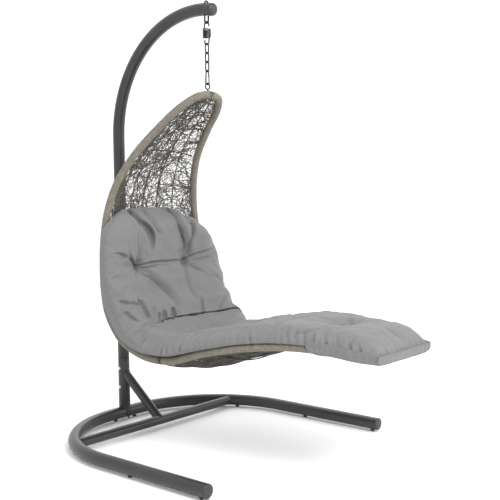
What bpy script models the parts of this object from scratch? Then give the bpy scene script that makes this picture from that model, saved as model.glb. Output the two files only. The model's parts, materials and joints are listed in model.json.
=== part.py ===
"""Hanging chaise lounge on a C-shaped steel stand.

Units are metres, +Z is up and the sitter faces -Y. The whole object is symmetric about X = 0.
The origin is on the floor, at the centre of the object's footprint box.
Heights are above the floor; a depth is a Y distance from the post's axis, negative towards the feet.
"""
import math

import bmesh
import bpy
from mathutils import Vector

# ---------------------------------------------------------------- driving dimensions
POST_Y = 0.80730            # the post's axis, so that the footprint box is centred on the origin
TUBE_R = 0.0285             # main tube, 57 mm across
TUBE_WALL = 0.0020
TUBE_Z = 0.0370             # centre line of the base tube
GAP = 0.0004                # clearance between touching pieces

BASE_HALF_WIDTH = 0.593
BASE_CORNER_R = 0.526
LEG_END_DEPTH = -1.134
CROSSBAR_R = 0.0222
CROSSBAR_DEPTH = -0.257
BRACE_TOP_Z = 0.247

JOINT_Z = 0.320             # where the bent upper post meets the welded stub
ARC_START_Z = 1.425
ARC_R = 0.547
ARC_ANGLE = math.radians(99.1)
ARM_TIP = 0.0100            # straight length after the bend
SPIGOT_R = 0.0262
SPIGOT_BOTTOM_Z = 0.120
SPIGOT_TOP_Z = 0.430
BOLT_HEIGHTS = (0.264, 0.169)
BOLT_R = 0.0040

FOOT_R = 0.0100
FOOT_STEM_R = 0.0035
FEET = (                    # half spacing across X, depth
    (0.593, -1.103),
    (0.593, -0.700),
    (0.537, -0.290),
    (0.063, 0.000),
)

HANG_DEPTH = -0.6086        # the vertical line that the seat hangs on
LOOP_R = 0.0040
LOOP_HALF_WIDTH = 0.0120
LOOP_TOP_Z = 2.0045
LOOP_BOTTOM_Z = 1.9070
WIRE_R = 0.0031             # spring wire, links and snap hook
SPRING_COIL_R = 0.0164
SPRING_TURNS = 5
SPRING_COIL_TOP_Z = 1.8820
SPRING_COIL_BOTTOM_Z = 1.8410
SPRING_BOTTOM_Z = 1.8120    # inside of the lower hook's bend
LINK_PITCH = 0.0400
LINK_HALF_WIDTH = 0.0100
LINK_COUNT = 3
FIRST_LINK_TOP_Z = SPRING_BOTTOM_Z + 2.0 * WIRE_R + GAP
SNAP_LENGTH = 0.0570        # from bearing to bearing
SNAP_TOP_HALF_WIDTH = 0.0075
SNAP_BOTTOM_HALF_WIDTH = 0.0105
GATE_SHARE = 0.62           # height of the gate's hinge along the open side
GATE_SLACK = 0.0016         # room for the gate's end to turn
EYE_R = 0.0140              # ring welded on the rim's tip, centre line radius

RIM_TUBE_R = 0.0125
RIM_TUBE_WALL = 0.0015
WRAP_R = 0.0178             # outside of the wicker wound on the rim
WRAP_WALL = 0.0041
WRAP_START = 0.0070         # bare steel on each side of the tip, where the ring is welded
SPIGOT_REACH = 0.0140
RIM_TIP_SHARES = (0.0, 0.010, 0.024, 0.042, 0.065)         # stations, closer at the tight bends
RIM_FOOT_SHARES = (0.910, 0.930, 0.945, 0.958, 0.972, 0.986, 1.0)
RIM_STEP = 0.0345
RIM_SPLIT = 0.585           # share of a half where the back frame meets the leg frame
RIM_STATIONS = (            # half width, distance behind the hanging line, height
    (0.000, -0.012, 1.588),
    (0.072, 0.002, 1.574),
    (0.117, 0.050, 1.534),
    (0.157, 0.149, 1.449),
    (0.211, 0.280, 1.308),
    (0.256, 0.347, 1.180),
    (0.286, 0.375, 1.054),
    (0.308, 0.376, 0.930),
    (0.325, 0.362, 0.780),
    (0.332, 0.330, 0.610),
    (0.333, 0.240, 0.495),
    (0.331, 0.100, 0.437),
    (0.328, -0.040, 0.431),
    (0.308, -0.240, 0.484),
    (0.275, -0.450, 0.527),
    (0.240, -0.640, 0.546),
    (0.214, -0.800, 0.545),
    (0.188, -0.940, 0.534),
    (0.120, -1.004, 0.529),
    (0.000, -1.016, 0.528),
)
SAG = (                     # share of the half rim, depth of the woven bed behind it
    (0.00, 0.000),
    (0.12, 0.030),
    (0.26, 0.068),
    (0.38, 0.088),
    (0.50, 0.078),
    (0.60, 0.068),
    (0.70, 0.058),
    (0.78, 0.032),
    (0.90, 0.016),
    (0.95, 0.003),
    (0.96, 0.000),
    (1.00, 0.000),
)
WEB_WALL = 0.0030
WEB_START = 0.044
WEB_END = 0.945
BED_ROWS = 25
RIB_R = 0.0030
RIB_PLACES = (-0.66, -0.33, 0.0, 0.33, 0.66)
HOOP_SHARES = (0.17, 0.30, 0.43, 0.56, 0.68, 0.80, 0.91)

CUSHION_START = 0.258
CUSHION_CLEAR = 0.0245      # underside above the rim's centre line
CUSHION_OVERHANG = (        # share of the half rim, how far the cushion spills over the rim
    (0.25, 0.020),
    (0.33, 0.046),
    (0.62, 0.046),
    (0.76, 0.016),
    (1.00, 0.012),
)
CUSHION_FOOT_HALF_WIDTH = 0.200
CUSHION_THICKNESS = (       # share of the half rim, full thickness
    (0.25, 0.050),
    (0.29, 0.082),
    (0.40, 0.092),
    (0.60, 0.092),
    (0.72, 0.086),
    (0.90, 0.080),
    (0.97, 0.068),
    (1.00, 0.026),
)

# ---------------------------------------------------------------- scene and materials
for old in list(bpy.data.objects):
    bpy.data.objects.remove(old, do_unlink=True)

PARTS = bpy.data.collections.new("porch_swing")
CUTTERS = bpy.data.collections.new("porch_swing_cutters")
bpy.context.scene.collection.children.link(PARTS)
bpy.context.scene.collection.children.link(CUTTERS)


def make_material(name, colour, roughness, metallic):
    material = bpy.data.materials.new(name)
    material.use_nodes = True
    shader = material.node_tree.nodes["Principled BSDF"]
    shader.inputs["Base Color"].default_value = (*colour, 1.0)
    shader.inputs["Roughness"].default_value = roughness
    shader.inputs["Metallic"].default_value = metallic
    return material


POWDER_COAT = make_material("powder_coat", (0.062, 0.066, 0.070), 0.42, 0.0)
BLACK_STEEL = make_material("black_steel", (0.020, 0.020, 0.022), 0.38, 0.6)
BOLT_STEEL = make_material("bolt_steel", (0.62, 0.62, 0.60), 0.28, 1.0)
BLACK_PLASTIC = make_material("black_plastic", (0.018, 0.018, 0.018), 0.55, 0.0)
WICKER = make_material("wicker", (0.27, 0.25, 0.21), 0.62, 0.0)
FABRIC = make_material("fabric", (0.27, 0.27, 0.27), 0.92, 0.0)


# ---------------------------------------------------------------- helpers
def place(depth, height, across=0.0):
    """A point from its depth behind the post's axis, its height and its X."""
    return Vector((across, POST_Y + depth, height))


def behind(distance, height, across=0.0):
    """A point from its distance behind the hanging line."""
    return place(HANG_DEPTH + distance, height, across)


def table_value(table, share):
    """Smooth value of a short table of (share, value) pairs."""
    for (low, first), (high, second) in zip(table, table[1:]):
        if share <= high:
            t = max(0.0, (share - low) / (high - low))
            return first + (second - first) * t * t * (3.0 - 2.0 * t)
    return table[-1][1]


def finish(obj, material, collection=PARTS, smooth_angle=40.0):
    for owner in list(obj.users_collection):
        owner.objects.unlink(obj)
    collection.objects.link(obj)
    obj.data.materials.clear()
    obj.data.materials.append(material)
    if obj.type == "MESH":
        obj.data.shade_smooth()
        obj.data.set_sharp_from_angle(angle=math.radians(smooth_angle))
    if collection is CUTTERS:
        obj.hide_render = True
        obj.display_type = "WIRE"
    return obj


def mesh_object(name, bm, material, collection=PARTS):
    """A bmesh as an object in a collection, with its faces pointing out."""
    bmesh.ops.recalc_face_normals(bm, faces=bm.faces)
    mesh = bpy.data.meshes.new(name)
    bm.to_mesh(mesh)
    bm.free()
    return finish(bpy.data.objects.new(name, mesh), material, collection)


def sweep(name, points, radius, material, sides=8, cyclic=False, caps=True, collection=PARTS):
    """A round bar or tube along points, as a poly curve."""
    curve = bpy.data.curves.new(name, "CURVE")
    curve.dimensions = "3D"
    curve.bevel_depth = radius
    curve.bevel_resolution = (sides - 4) // 2
    curve.use_fill_caps = caps and not cyclic
    curve.twist_mode = "MINIMUM"
    spline = curve.splines.new("POLY")
    spline.points.add(len(points) - 1)
    for spline_point, point in zip(spline.points, points):
        spline_point.co = (*point, 1.0)
    spline.use_cyclic_u = cyclic
    spline.use_smooth = True
    return finish(bpy.data.objects.new(name, curve), material, collection)


def to_mesh(obj):
    """The evaluated shape of a curve, welded, in place of the curve."""
    bpy.context.view_layer.update()
    evaluated = obj.evaluated_get(bpy.context.evaluated_depsgraph_get())
    mesh = bpy.data.meshes.new_from_object(evaluated)
    bm = bmesh.new()
    bm.from_mesh(mesh)
    bmesh.ops.remove_doubles(bm, verts=bm.verts, dist=1e-6)
    bm.to_mesh(mesh)
    bm.free()
    name = obj.name
    material = obj.data.materials[0]
    collection = obj.users_collection[0]
    world = obj.matrix_world.copy()
    bpy.data.objects.remove(obj, do_unlink=True)
    solid = bpy.data.objects.new(name, mesh)
    solid.matrix_world = world
    return finish(solid, material, collection)


def hollow(obj, wall):
    """An open-ended tube wall inside a swept surface that has no caps."""
    shell = obj.modifiers.new("wall", "SOLIDIFY")
    shell.thickness = wall
    shell.offset = -1.0
    return obj


def hollow_tube(name, points, radius, wall, material, sides=12):
    tube = to_mesh(sweep(name, points, radius, material, sides, caps=False))
    return hollow(tube, wall)


def cut(obj, cutter):
    modifier = obj.modifiers.new("cut", "BOOLEAN")
    modifier.operation = "DIFFERENCE"
    modifier.object = cutter


def join_solid(obj, other):
    """Adds another solid to this one for good."""
    modifier = obj.modifiers.new("join", "BOOLEAN")
    modifier.operation = "UNION"
    modifier.object = other


def cutter_bar(name, points, radius, sides=12, cyclic=False):
    return to_mesh(sweep(name, points, radius, POWDER_COAT, sides, cyclic, collection=CUTTERS))


def turned(name, profile, origin, axis, material, steps=16, collection=PARTS):
    """A solid of revolution: profile is (radius, distance along axis) from end to end."""
    bm = bmesh.new()
    turn = Vector((0.0, 0.0, 1.0)).rotation_difference(Vector(axis)).to_matrix()
    rings = []
    for radius, along in profile:
        if radius == 0.0:
            rings.append([bm.verts.new(Vector(origin) + turn @ Vector((0.0, 0.0, along)))])
            continue
        ring = []
        for step in range(steps):
            angle = 2.0 * math.pi * (step + 0.5) / steps
            spoke = Vector((radius * math.cos(angle), radius * math.sin(angle), along))
            ring.append(bm.verts.new(Vector(origin) + turn @ spoke))
        rings.append(ring)
    for low, high in zip(rings, rings[1:]):
        for step in range(steps):
            following = (step + 1) % steps
            if len(low) == 1:
                bm.faces.new((low[0], high[following], high[step]))
            elif len(high) == 1:
                bm.faces.new((low[step], low[following], high[0]))
            else:
                bm.faces.new((low[step], low[following], high[following], high[step]))
    for ring, outward in ((rings[0], False), (rings[-1], True)):
        if len(ring) > 1:
            bm.faces.new(ring if outward else ring[::-1])
    return mesh_object(name, bm, material, collection)


def loft(name, sections, material):
    """A closed solid through rings of points, with flat ends."""
    bm = bmesh.new()
    rings = [[bm.verts.new(point) for point in section] for section in sections]
    for low, high in zip(rings, rings[1:]):
        for index in range(len(low)):
            following = (index + 1) % len(low)
            bm.faces.new((low[index], low[following], high[following], high[index]))
    bm.faces.new(rings[0][::-1])
    bm.faces.new(rings[-1])
    return mesh_object(name, bm, material)


def arc(centre, radius, start, end, steps, first_axis, second_axis):
    """Points of an arc; an angle turns from first_axis towards second_axis."""
    points = []
    for step in range(steps + 1):
        angle = start + (end - start) * step / steps
        spoke = radius * (math.cos(angle) * Vector(first_axis) + math.sin(angle) * Vector(second_axis))
        points.append(Vector(centre) + spoke)
    return points


ARM_DIRECTION = Vector((0.0, -math.sin(ARC_ANGLE), math.cos(ARC_ANGLE)))
X_AXIS = (1.0, 0.0, 0.0)
Y_AXIS = (0.0, 1.0, 0.0)
Z_AXIS = (0.0, 0.0, 1.0)
QUARTER = math.pi / 2.0


# ---------------------------------------------------------------- stand
def base_path():
    """Centre line of the U-shaped base, from one leg's end to the other's."""
    corner_depth = -BASE_CORNER_R
    offset = BASE_HALF_WIDTH - BASE_CORNER_R
    left = arc(place(corner_depth, TUBE_Z, -offset), BASE_CORNER_R, math.pi, QUARTER, 9, X_AXIS, Y_AXIS)
    right = arc(place(corner_depth, TUBE_Z, offset), BASE_CORNER_R, QUARTER, 0.0, 9, X_AXIS, Y_AXIS)
    ends = [place(LEG_END_DEPTH, TUBE_Z, side * BASE_HALF_WIDTH) for side in (-1.0, 1.0)]
    return [ends[0], *left, *right, ends[1]]


def arm_path(first_height):
    """Centre line of the post and the arm that bends forward over the seat, with a straight tip."""
    centre = place(-ARC_R, ARC_START_Z)
    bend = arc(centre, ARC_R, 0.0, ARC_ANGLE, 11, Y_AXIS, Z_AXIS)
    return [place(0.0, first_height), *bend, bend[-1] + ARM_DIRECTION * ARM_TIP]


def build_feet():
    """Glides under the base, each on a stem that plugs into the tube."""
    stems = []
    for half_spacing, depth in FEET:
        for side, tag in ((-1.0, "left"), (1.0, "right")):
            number = FEET.index((half_spacing, depth)) + 1
            under = place(depth, 0.0, side * half_spacing)
            flat = TUBE_Z - TUBE_R - GAP
            profile = (
                (FOOT_R - 0.0015, 0.0),
                (FOOT_R, 0.0015),
                (FOOT_R, flat),
                (FOOT_STEM_R, flat),
                (FOOT_STEM_R, flat + 0.0060),
                (0.0, flat + 0.0060),
            )
            turned(f"foot_{number}_{tag}", ((0.0, 0.0), *profile), under, Z_AXIS, BLACK_PLASTIC, 8)
            low = under + Vector((0.0, 0.0, -0.002))
            high = under + Vector((0.0, 0.0, TUBE_Z))
            stems.append((low, high))
    return stems


def build_base():
    stems = build_feet()
    base = to_mesh(sweep("base_tube", base_path(), TUBE_R, POWDER_COAT, 12, caps=False))
    hollow(base, TUBE_WALL)
    for index, (low, high) in enumerate(stems):
        cut(base, cutter_bar(f"foot_hole_{index}", (low, high), FOOT_STEM_R + GAP, 10))
    for side, tag in ((-1.0, "left"), (1.0, "right")):
        mouth = place(LEG_END_DEPTH, TUBE_Z, side * BASE_HALF_WIDTH)
        inner = TUBE_R - TUBE_WALL - 2.0 * GAP
        profile = (
            (0.0, -0.0180),
            (inner - 0.001, -0.0180),
            (inner - 0.001, GAP),
            (TUBE_R, GAP),
            (TUBE_R - 0.0010, 0.0030),
            (TUBE_R * 0.70, 0.0060),
            (0.0, 0.0072),
        )
        turned(f"leg_cap_{tag}", profile, mouth, (0.0, -1.0, 0.0), POWDER_COAT)


def build_bars():
    """Crossbar and brace, their ends coped to the tubes that they are welded to."""
    base_cutter = cutter_bar("base_cutter", base_path(), TUBE_R + GAP, 12)
    middle = place(CROSSBAR_DEPTH, TUBE_Z)
    reach = Vector((BASE_HALF_WIDTH - 0.060, 0.0, 0.0))
    crossbar_ends = (middle - reach, middle + reach)
    crossbar = to_mesh(sweep("crossbar", crossbar_ends, CROSSBAR_R, POWDER_COAT, 12))
    cut(crossbar, base_cutter)

    stub_cutter = cutter_bar("post_cutter", (place(0.0, 0.0), place(0.0, 0.6)), TUBE_R + GAP, 12)
    crossbar_cutter = cutter_bar("crossbar_cutter", crossbar_ends, CROSSBAR_R + GAP, 12)
    top = place(0.0, BRACE_TOP_Z)
    brace = to_mesh(sweep("brace", (middle, top), CROSSBAR_R - 0.0004, POWDER_COAT, 12))
    cut(brace, stub_cutter)
    cut(brace, crossbar_cutter)

    stub = (place(0.0, TUBE_Z), place(0.0, JOINT_Z - GAP))
    stub_tube = to_mesh(sweep("post_stub", stub, TUBE_R, POWDER_COAT, 12))
    bore = (place(0.0, SPIGOT_BOTTOM_Z - 0.020), place(0.0, JOINT_Z + 0.02))
    cut(stub_tube, cutter_bar("stub_bore", bore, SPIGOT_R, 12))
    cut(stub_tube, base_cutter)
    return stub_tube


def build_post(stub_tube):
    """Bent upper post on a spigot that two through bolts hold in the stub."""
    arm = hollow_tube("post_arm", arm_path(JOINT_Z + GAP), TUBE_R, TUBE_WALL, POWDER_COAT, 12)
    spigot_ends = (place(0.0, SPIGOT_BOTTOM_Z), place(0.0, SPIGOT_TOP_Z))
    spigot = to_mesh(sweep("post_spigot", spigot_ends, SPIGOT_R - GAP, POWDER_COAT, 12, caps=False))
    hollow(spigot, TUBE_WALL)
    for number, height in enumerate(BOLT_HEIGHTS, 1):
        far = TUBE_R + 0.020
        hole = (place(0.0, height, -far), place(0.0, height, far))
        bolt_hole = cutter_bar(f"bolt_hole_{number}", hole, BOLT_R + GAP, 10)
        cut(stub_tube, bolt_hole)
        cut(spigot, bolt_hole)
        head = TUBE_R + GAP
        bolt_profile = (
            (0.0, -head - 0.0050),
            (0.0045, -head - 0.0046),
            (0.0070, -head - 0.0022),
            (0.0076, -head),
            (BOLT_R, -head),
            (BOLT_R, head + 0.0090),
            (0.0, head + 0.0090),
        )
        turned(f"post_bolt_{number}", bolt_profile, place(0.0, height), X_AXIS, BOLT_STEEL, 12)
        build_nut(number, height, head)
    loop_legs(arm)
    tip = arm_path(JOINT_Z)[-1]
    inner = TUBE_R - TUBE_WALL - 2.0 * GAP
    cap_profile = (
        (0.0, -0.0120),
        (inner - 0.001, -0.0120),
        (inner - 0.001, GAP),
        (TUBE_R, GAP),
        (TUBE_R * 0.97, 0.0050),
        (TUBE_R * 0.80, 0.0105),
        (TUBE_R * 0.45, 0.0140),
        (0.0, 0.0150),
    )
    turned("arm_cap", cap_profile, tip, ARM_DIRECTION, BLACK_PLASTIC)


def build_nut(number, height, head):
    """Hexagonal nut with a round hole, on the bolt's threaded end."""
    face = head + 0.0006
    profile = (
        (BOLT_R + GAP, face),
        (0.0072, face),
        (0.0072, face + 0.0062),
        (BOLT_R + GAP, face + 0.0062),
    )
    bm = bmesh.new()
    rings = []
    for radius, along in profile:
        ring = []
        for step in range(12):
            angle = math.pi * step / 6.0
            corner = radius if radius < 0.006 else radius / max(math.cos(math.pi / 6.0), 0.01)
            if radius > 0.006 and step % 2:
                corner = radius
            ring.append(bm.verts.new(place(corner * math.cos(angle), height + corner * math.sin(angle), along)))
        rings.append(ring)
    for low, high in zip(rings, rings[1:] + rings[:1]):
        for step in range(12):
            following = (step + 1) % 12
            bm.faces.new((low[step], low[following], high[following], high[step]))
    mesh_object(f"post_nut_{number}", bm, BOLT_STEEL)


def oval(half_width, low, high, plane, depth=HANG_DEPTH, steps=6):
    """Closed oval centre line that stands in the XZ or the YZ plane."""
    across = X_AXIS if plane == "XZ" else Y_AXIS
    top = arc(place(depth, high - half_width), half_width, 0.0, math.pi, steps, across, Z_AXIS)
    bottom = arc(place(depth, low + half_width), half_width, math.pi, 2.0 * math.pi, steps, across, Z_AXIS)
    return [*top, *bottom]


def loop_legs(arm):
    """Hanger loop through the arm's tip, with a hole for each of its legs in both walls."""
    path = oval(LOOP_HALF_WIDTH, LOOP_BOTTOM_Z, LOOP_TOP_Z, "XZ")
    sweep("hanger_loop", path, LOOP_R, BLACK_STEEL, 8, cyclic=True)
    for side in (-1.0, 1.0):
        ends = [place(HANG_DEPTH, height, side * LOOP_HALF_WIDTH) for height in (1.88, 2.06)]
        cut(arm, cutter_bar(f"loop_hole_{side:+.0f}", ends, LOOP_R + 2.0 * GAP, 10))


# ---------------------------------------------------------------- hanging hardware
def spring_path():
    """One wire: open hook, close coil, open hook."""
    radius = SPRING_COIL_R
    hook = radius - 0.003
    bearing_top = LOOP_BOTTOM_Z + LOOP_R + WIRE_R + GAP
    upper = arc(place(HANG_DEPTH, bearing_top - hook), hook, math.radians(-35.0), math.radians(205.0), 9,
                (0.0, -1.0, 0.0), Z_AXIS)
    lower = arc(place(HANG_DEPTH, SPRING_BOTTOM_Z + hook), hook, math.radians(155.0), math.radians(395.0), 9,
                (0.0, 1.0, 0.0), Z_AXIS)
    coil = []
    steps = 8 * SPRING_TURNS + 4
    height = SPRING_COIL_TOP_Z - SPRING_COIL_BOTTOM_Z
    for step in range(steps + 1):
        angle = QUARTER + 2.0 * math.pi * step / 8.0
        offset = place(HANG_DEPTH, SPRING_COIL_TOP_Z - height * step / steps)
        coil.append(offset + radius * Vector((math.cos(angle), math.sin(angle), 0.0)))
    return [*upper, *coil, *lower]


def link_span(index):
    """Centre-line heights of a link's top and bottom bends; each bend bears on the next one."""
    top = FIRST_LINK_TOP_Z - index * LINK_PITCH
    bottom = top - LINK_PITCH - 2.0 * WIRE_R - GAP
    return top, bottom


def build_chain():
    sweep("spring", spring_path(), WIRE_R, BLACK_STEEL, 6)
    for index in range(LINK_COUNT):
        top, bottom = link_span(index)
        plane = "XZ" if index % 2 == 0 else "YZ"
        path = oval(LINK_HALF_WIDTH, bottom, top, plane)
        sweep(f"chain_link_{index + 1}", path, WIRE_R, BLACK_STEEL, 6, cyclic=True)


SNAP_TOP_Z = link_span(LINK_COUNT)[0]
SNAP_BOTTOM_Z = SNAP_TOP_Z - SNAP_LENGTH - 2.0 * WIRE_R - GAP
EYE_TOP_Z = SNAP_BOTTOM_Z + 2.0 * WIRE_R + GAP
EYE_Z = EYE_TOP_Z - EYE_R


def build_snap():
    """Pear-shaped wire body in the YZ plane, with a short sprung gate closing its front side."""
    front = (0.0, -1.0, 0.0)
    low = place(HANG_DEPTH, SNAP_BOTTOM_Z + SNAP_BOTTOM_HALF_WIDTH)
    high = place(HANG_DEPTH, SNAP_TOP_Z - SNAP_TOP_HALF_WIDTH)
    bottom = arc(low, SNAP_BOTTOM_HALF_WIDTH, math.radians(-12.0), -math.pi, 8, front, Z_AXIS)
    top = arc(high, SNAP_TOP_HALF_WIDTH, math.pi, math.radians(-4.0), 8, front, Z_AXIS)
    mouth_low, shoulder = bottom[0], top[-1]
    side = (shoulder - mouth_low).normalized()
    hinge = mouth_low.lerp(shoulder, GATE_SHARE)
    gate_foot = mouth_low + side * 0.0024
    sweep("snap_hook", [gate_foot, *bottom, *top, hinge], WIRE_R, BLACK_STEEL, 8)
    gate = (gate_foot + side * 0.0006, hinge - side * GATE_SLACK)
    sweep("snap_gate", gate, WIRE_R * 0.87, BLACK_STEEL, 8)


# ---------------------------------------------------------------- seat frame
def catmull(points, share):
    """Point on a smooth curve through points, share 0 to 1 by chord length."""
    distances = [0.0]
    for first, second in zip(points, points[1:]):
        distances.append(distances[-1] + (second - first).length)
    target = share * distances[-1]
    index = 0
    while index < len(points) - 2 and distances[index + 1] < target:
        index += 1
    span = distances[index + 1] - distances[index]
    t = (target - distances[index]) / span
    mirror = Vector((-1.0, 1.0, 1.0))
    before = points[index - 1] if index else points[1] * mirror
    after = points[index + 2] if index + 2 < len(points) else points[-2] * mirror
    start, end = points[index], points[index + 1]
    before_span = (start - before).length
    after_span = (after - end).length
    slope_start = ((start - before) * span / before_span + (end - start) * before_span / span)
    slope_start = slope_start / (before_span + span) * span
    slope_end = ((end - start) * after_span / span + (after - end) * span / after_span)
    slope_end = slope_end / (span + after_span) * span
    t2, t3 = t * t, t * t * t
    return (
        start * (2.0 * t3 - 3.0 * t2 + 1.0)
        + slope_start * (t3 - 2.0 * t2 + t)
        + end * (3.0 * t2 - 2.0 * t3)
        + slope_end * (t3 - t2)
    )


RIM_POINTS = [behind(distance, height, half_width) for half_width, distance, height in RIM_STATIONS]


def rim(share):
    """Centre of the rim on the +X side, from the tip (0) down and round to the foot (1)."""
    return catmull(RIM_POINTS, min(max(share, 0.0), 1.0))


def rim_frame(share):
    """Centre, unit tangent, and the in-plane normal that points to the sitter."""
    step = 0.004
    tangent = (rim(share + step) - rim(share - step)).normalized()
    wide_step = 0.035
    flat = rim(share + wide_step) - rim(share - wide_step)
    flat.x = 0.0
    flat.normalize()
    return rim(share), tangent, Vector((0.0, flat.z, -flat.y))


def mirrored(point):
    return Vector((-point.x, point.y, point.z))


def even_shares(first, last):
    """Shares about RIM_STEP apart, without the first one."""
    count = math.ceil((last - first) / RIM_STEP)
    return [first + (last - first) * index / count for index in range(1, count + 1)]


def build_rim():
    """Steel rim in two bent tubes, and the wicker wound on it in three sleeves."""
    split = rim(RIM_SPLIT)
    along = rim_frame(RIM_SPLIT)[1]
    edges = [split + along * distance for distance in (-0.0030, -GAP, GAP, 0.0030)]
    back_shares = [*RIM_TIP_SHARES, *even_shares(RIM_TIP_SHARES[-1], RIM_SPLIT)[:-1]]
    leg_shares = [*even_shares(RIM_SPLIT, RIM_FOOT_SHARES[0])[:-1], *RIM_FOOT_SHARES]
    back = [*[rim(share) for share in back_shares], *edges[:2]]
    leg = [*edges[2:], *[rim(share) for share in leg_shares]]
    back_loop = [mirrored(point) for point in back[:0:-1]] + back
    leg_loop = leg + [mirrored(point) for point in leg[-2::-1]]
    hollow_tube("rim_tube_back", back_loop, RIM_TUBE_R, RIM_TUBE_WALL, POWDER_COAT, 8)
    hollow_tube("rim_tube_leg", leg_loop, RIM_TUBE_R, RIM_TUBE_WALL, POWDER_COAT, 8)
    hollow_tube("rim_wrap_leg", leg_loop, WRAP_R, WRAP_WALL, WICKER, 8)
    wrap = [back[0].lerp(back[1], WRAP_START / (back[1] - back[0]).length), *back[1:]]
    hollow_tube("rim_wrap_back_right", wrap, WRAP_R, WRAP_WALL, WICKER, 8)
    wrap_left = [mirrored(point) for point in wrap]
    hollow_tube("rim_wrap_back_left", wrap_left, WRAP_R, WRAP_WALL, WICKER, 8)
    for side, tag in ((1.0, "right"), (-1.0, "left")):
        pin = [
            back[-2] + (back[-3] - back[-2]).normalized() * SPIGOT_REACH,
            back[-2],
            leg[1],
            leg[1] + (leg[2] - leg[1]).normalized() * SPIGOT_REACH,
        ]
        pin = [Vector((side * point.x, point.y, point.z)) for point in pin]
        sweep(f"rim_spigot_{tag}", pin, RIM_TUBE_R - RIM_TUBE_WALL - 0.0018, POWDER_COAT, 8)


def build_eye():
    """Ring in the XZ plane, with a short stem, welded on top of the rim's tip."""
    centre = place(HANG_DEPTH, EYE_Z)
    ring = arc(centre, EYE_R, -QUARTER, 3.0 * QUARTER, 16, X_AXIS, Z_AXIS)[:-1]
    eye = to_mesh(sweep("rim_eye", ring, WIRE_R, BLACK_STEEL, 8, cyclic=True))
    tip = rim(0.0)
    foot = Vector((0.0, (tip.y + centre.y) / 2.0, tip.z + RIM_TUBE_R + GAP))
    join_solid(eye, cutter_bar("eye_stem", (foot, centre - Vector((0.0, 0.0, EYE_R))), WIRE_R, 8))


def inset(tangent, clearance):
    """Distance along X that keeps a point clear of the rim, by its slant."""
    return clearance / math.sqrt(max(1.0 - tangent.x * tangent.x, 0.05))


def bed_point(share, place_across, offset):
    """Point of the woven bed: place_across runs from -1 to 1 between the two sides of the rim."""
    centre, tangent, normal = rim_frame(share)
    half = centre.x - inset(tangent, WRAP_R + 0.0035)
    depth = table_value(SAG, share) * (1.0 - place_across * place_across)
    point = centre + normal * (offset - depth)
    point.x = place_across * half
    return point


def build_bed():
    """Woven bed as one thin wall, with long ribs behind it and hoops behind the ribs."""
    rows, columns = BED_ROWS, 10
    sections = []
    for row in range(rows):
        share = WEB_START + (WEB_END - WEB_START) * row / (rows - 1)
        front = [bed_point(share, -1.0 + 2.0 * c / columns, WEB_WALL / 2.0) for c in range(columns + 1)]
        back = [bed_point(share, -1.0 + 2.0 * c / columns, -WEB_WALL / 2.0) for c in range(columns + 1)]
        sections.append(front + back[::-1])
    loft("woven_bed", sections, WICKER)
    rib_offset = -(WEB_WALL / 2.0 + RIB_R + 0.0012)
    for number, across in enumerate(RIB_PLACES, 1):
        path = []
        for step in range(BED_ROWS):
            share = WEB_START + (WEB_END - WEB_START) * step / (BED_ROWS - 1)
            path.append(bed_point(share, across, rib_offset))
        sweep(f"bed_rib_{number}", path, RIB_R, POWDER_COAT, 6)
    hoop_offset = rib_offset - 2.0 * RIB_R - 0.0016
    for number, share in enumerate(HOOP_SHARES, 1):
        path = [bed_point(share, -1.0 + step / 5.0, hoop_offset) for step in range(11)]
        for end in (0, -1):
            path[end].x *= 0.985
        sweep(f"bed_hoop_{number}", path, RIB_R, POWDER_COAT, 6)


def cushion_ring(share):
    """Cross-section of the cushion: it follows the bed and overhangs the rim a little."""
    centre, _, normal = rim_frame(share)
    half = centre.x + table_value(CUSHION_OVERHANG, share)
    if share > 0.80:
        half = max(half, CUSHION_FOOT_HALF_WIDTH)
    rim_half = centre.x if share < 0.90 else rim(0.90).x
    thickness = table_value(CUSHION_THICKNESS, share)
    sag = table_value(SAG, share)
    ring = []
    for step in range(16):
        angle = 2.0 * math.pi * (step + 0.5) / 16
        across = math.copysign(abs(math.cos(angle)) ** 0.62, math.cos(angle)) * half
        rise = 0.5 + 0.5 * math.copysign(abs(math.sin(angle)) ** 0.55, math.sin(angle))
        bed = sag * max(0.0, 1.0 - (across / (rim_half - 0.016)) ** 2)
        point = centre + normal * (CUSHION_CLEAR - bed + rise * thickness)
        point.x = across
        ring.append(point)
    return ring


def build_cushion():
    rows = 22
    shares = [CUSHION_START + (1.0 - CUSHION_START) * row / (rows - 1) for row in range(rows)]
    sections = [cushion_ring(share) for share in shares]
    last = sections[-1]
    middle = sum(last, Vector()) / len(last)
    nose = [middle + (point - middle) * 0.86 + Vector((0.0, -0.012, 0.0)) for point in last]
    loft("cushion", [*sections, nose], FABRIC)


# ---------------------------------------------------------------- build
build_base()
build_post(build_bars())
build_chain()
build_snap()
build_rim()
build_eye()
build_bed()
build_cushion()
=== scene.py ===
"""Looks of the hanging chaise lounge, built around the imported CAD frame.

Units are metres, +Z is up and the sitter faces -Y, as in the frame.
Names and values of the driving dimensions are those of the CAD source.
"""
import json
import math

import bpy
import numpy as np
from mathutils import Matrix, Vector

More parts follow.
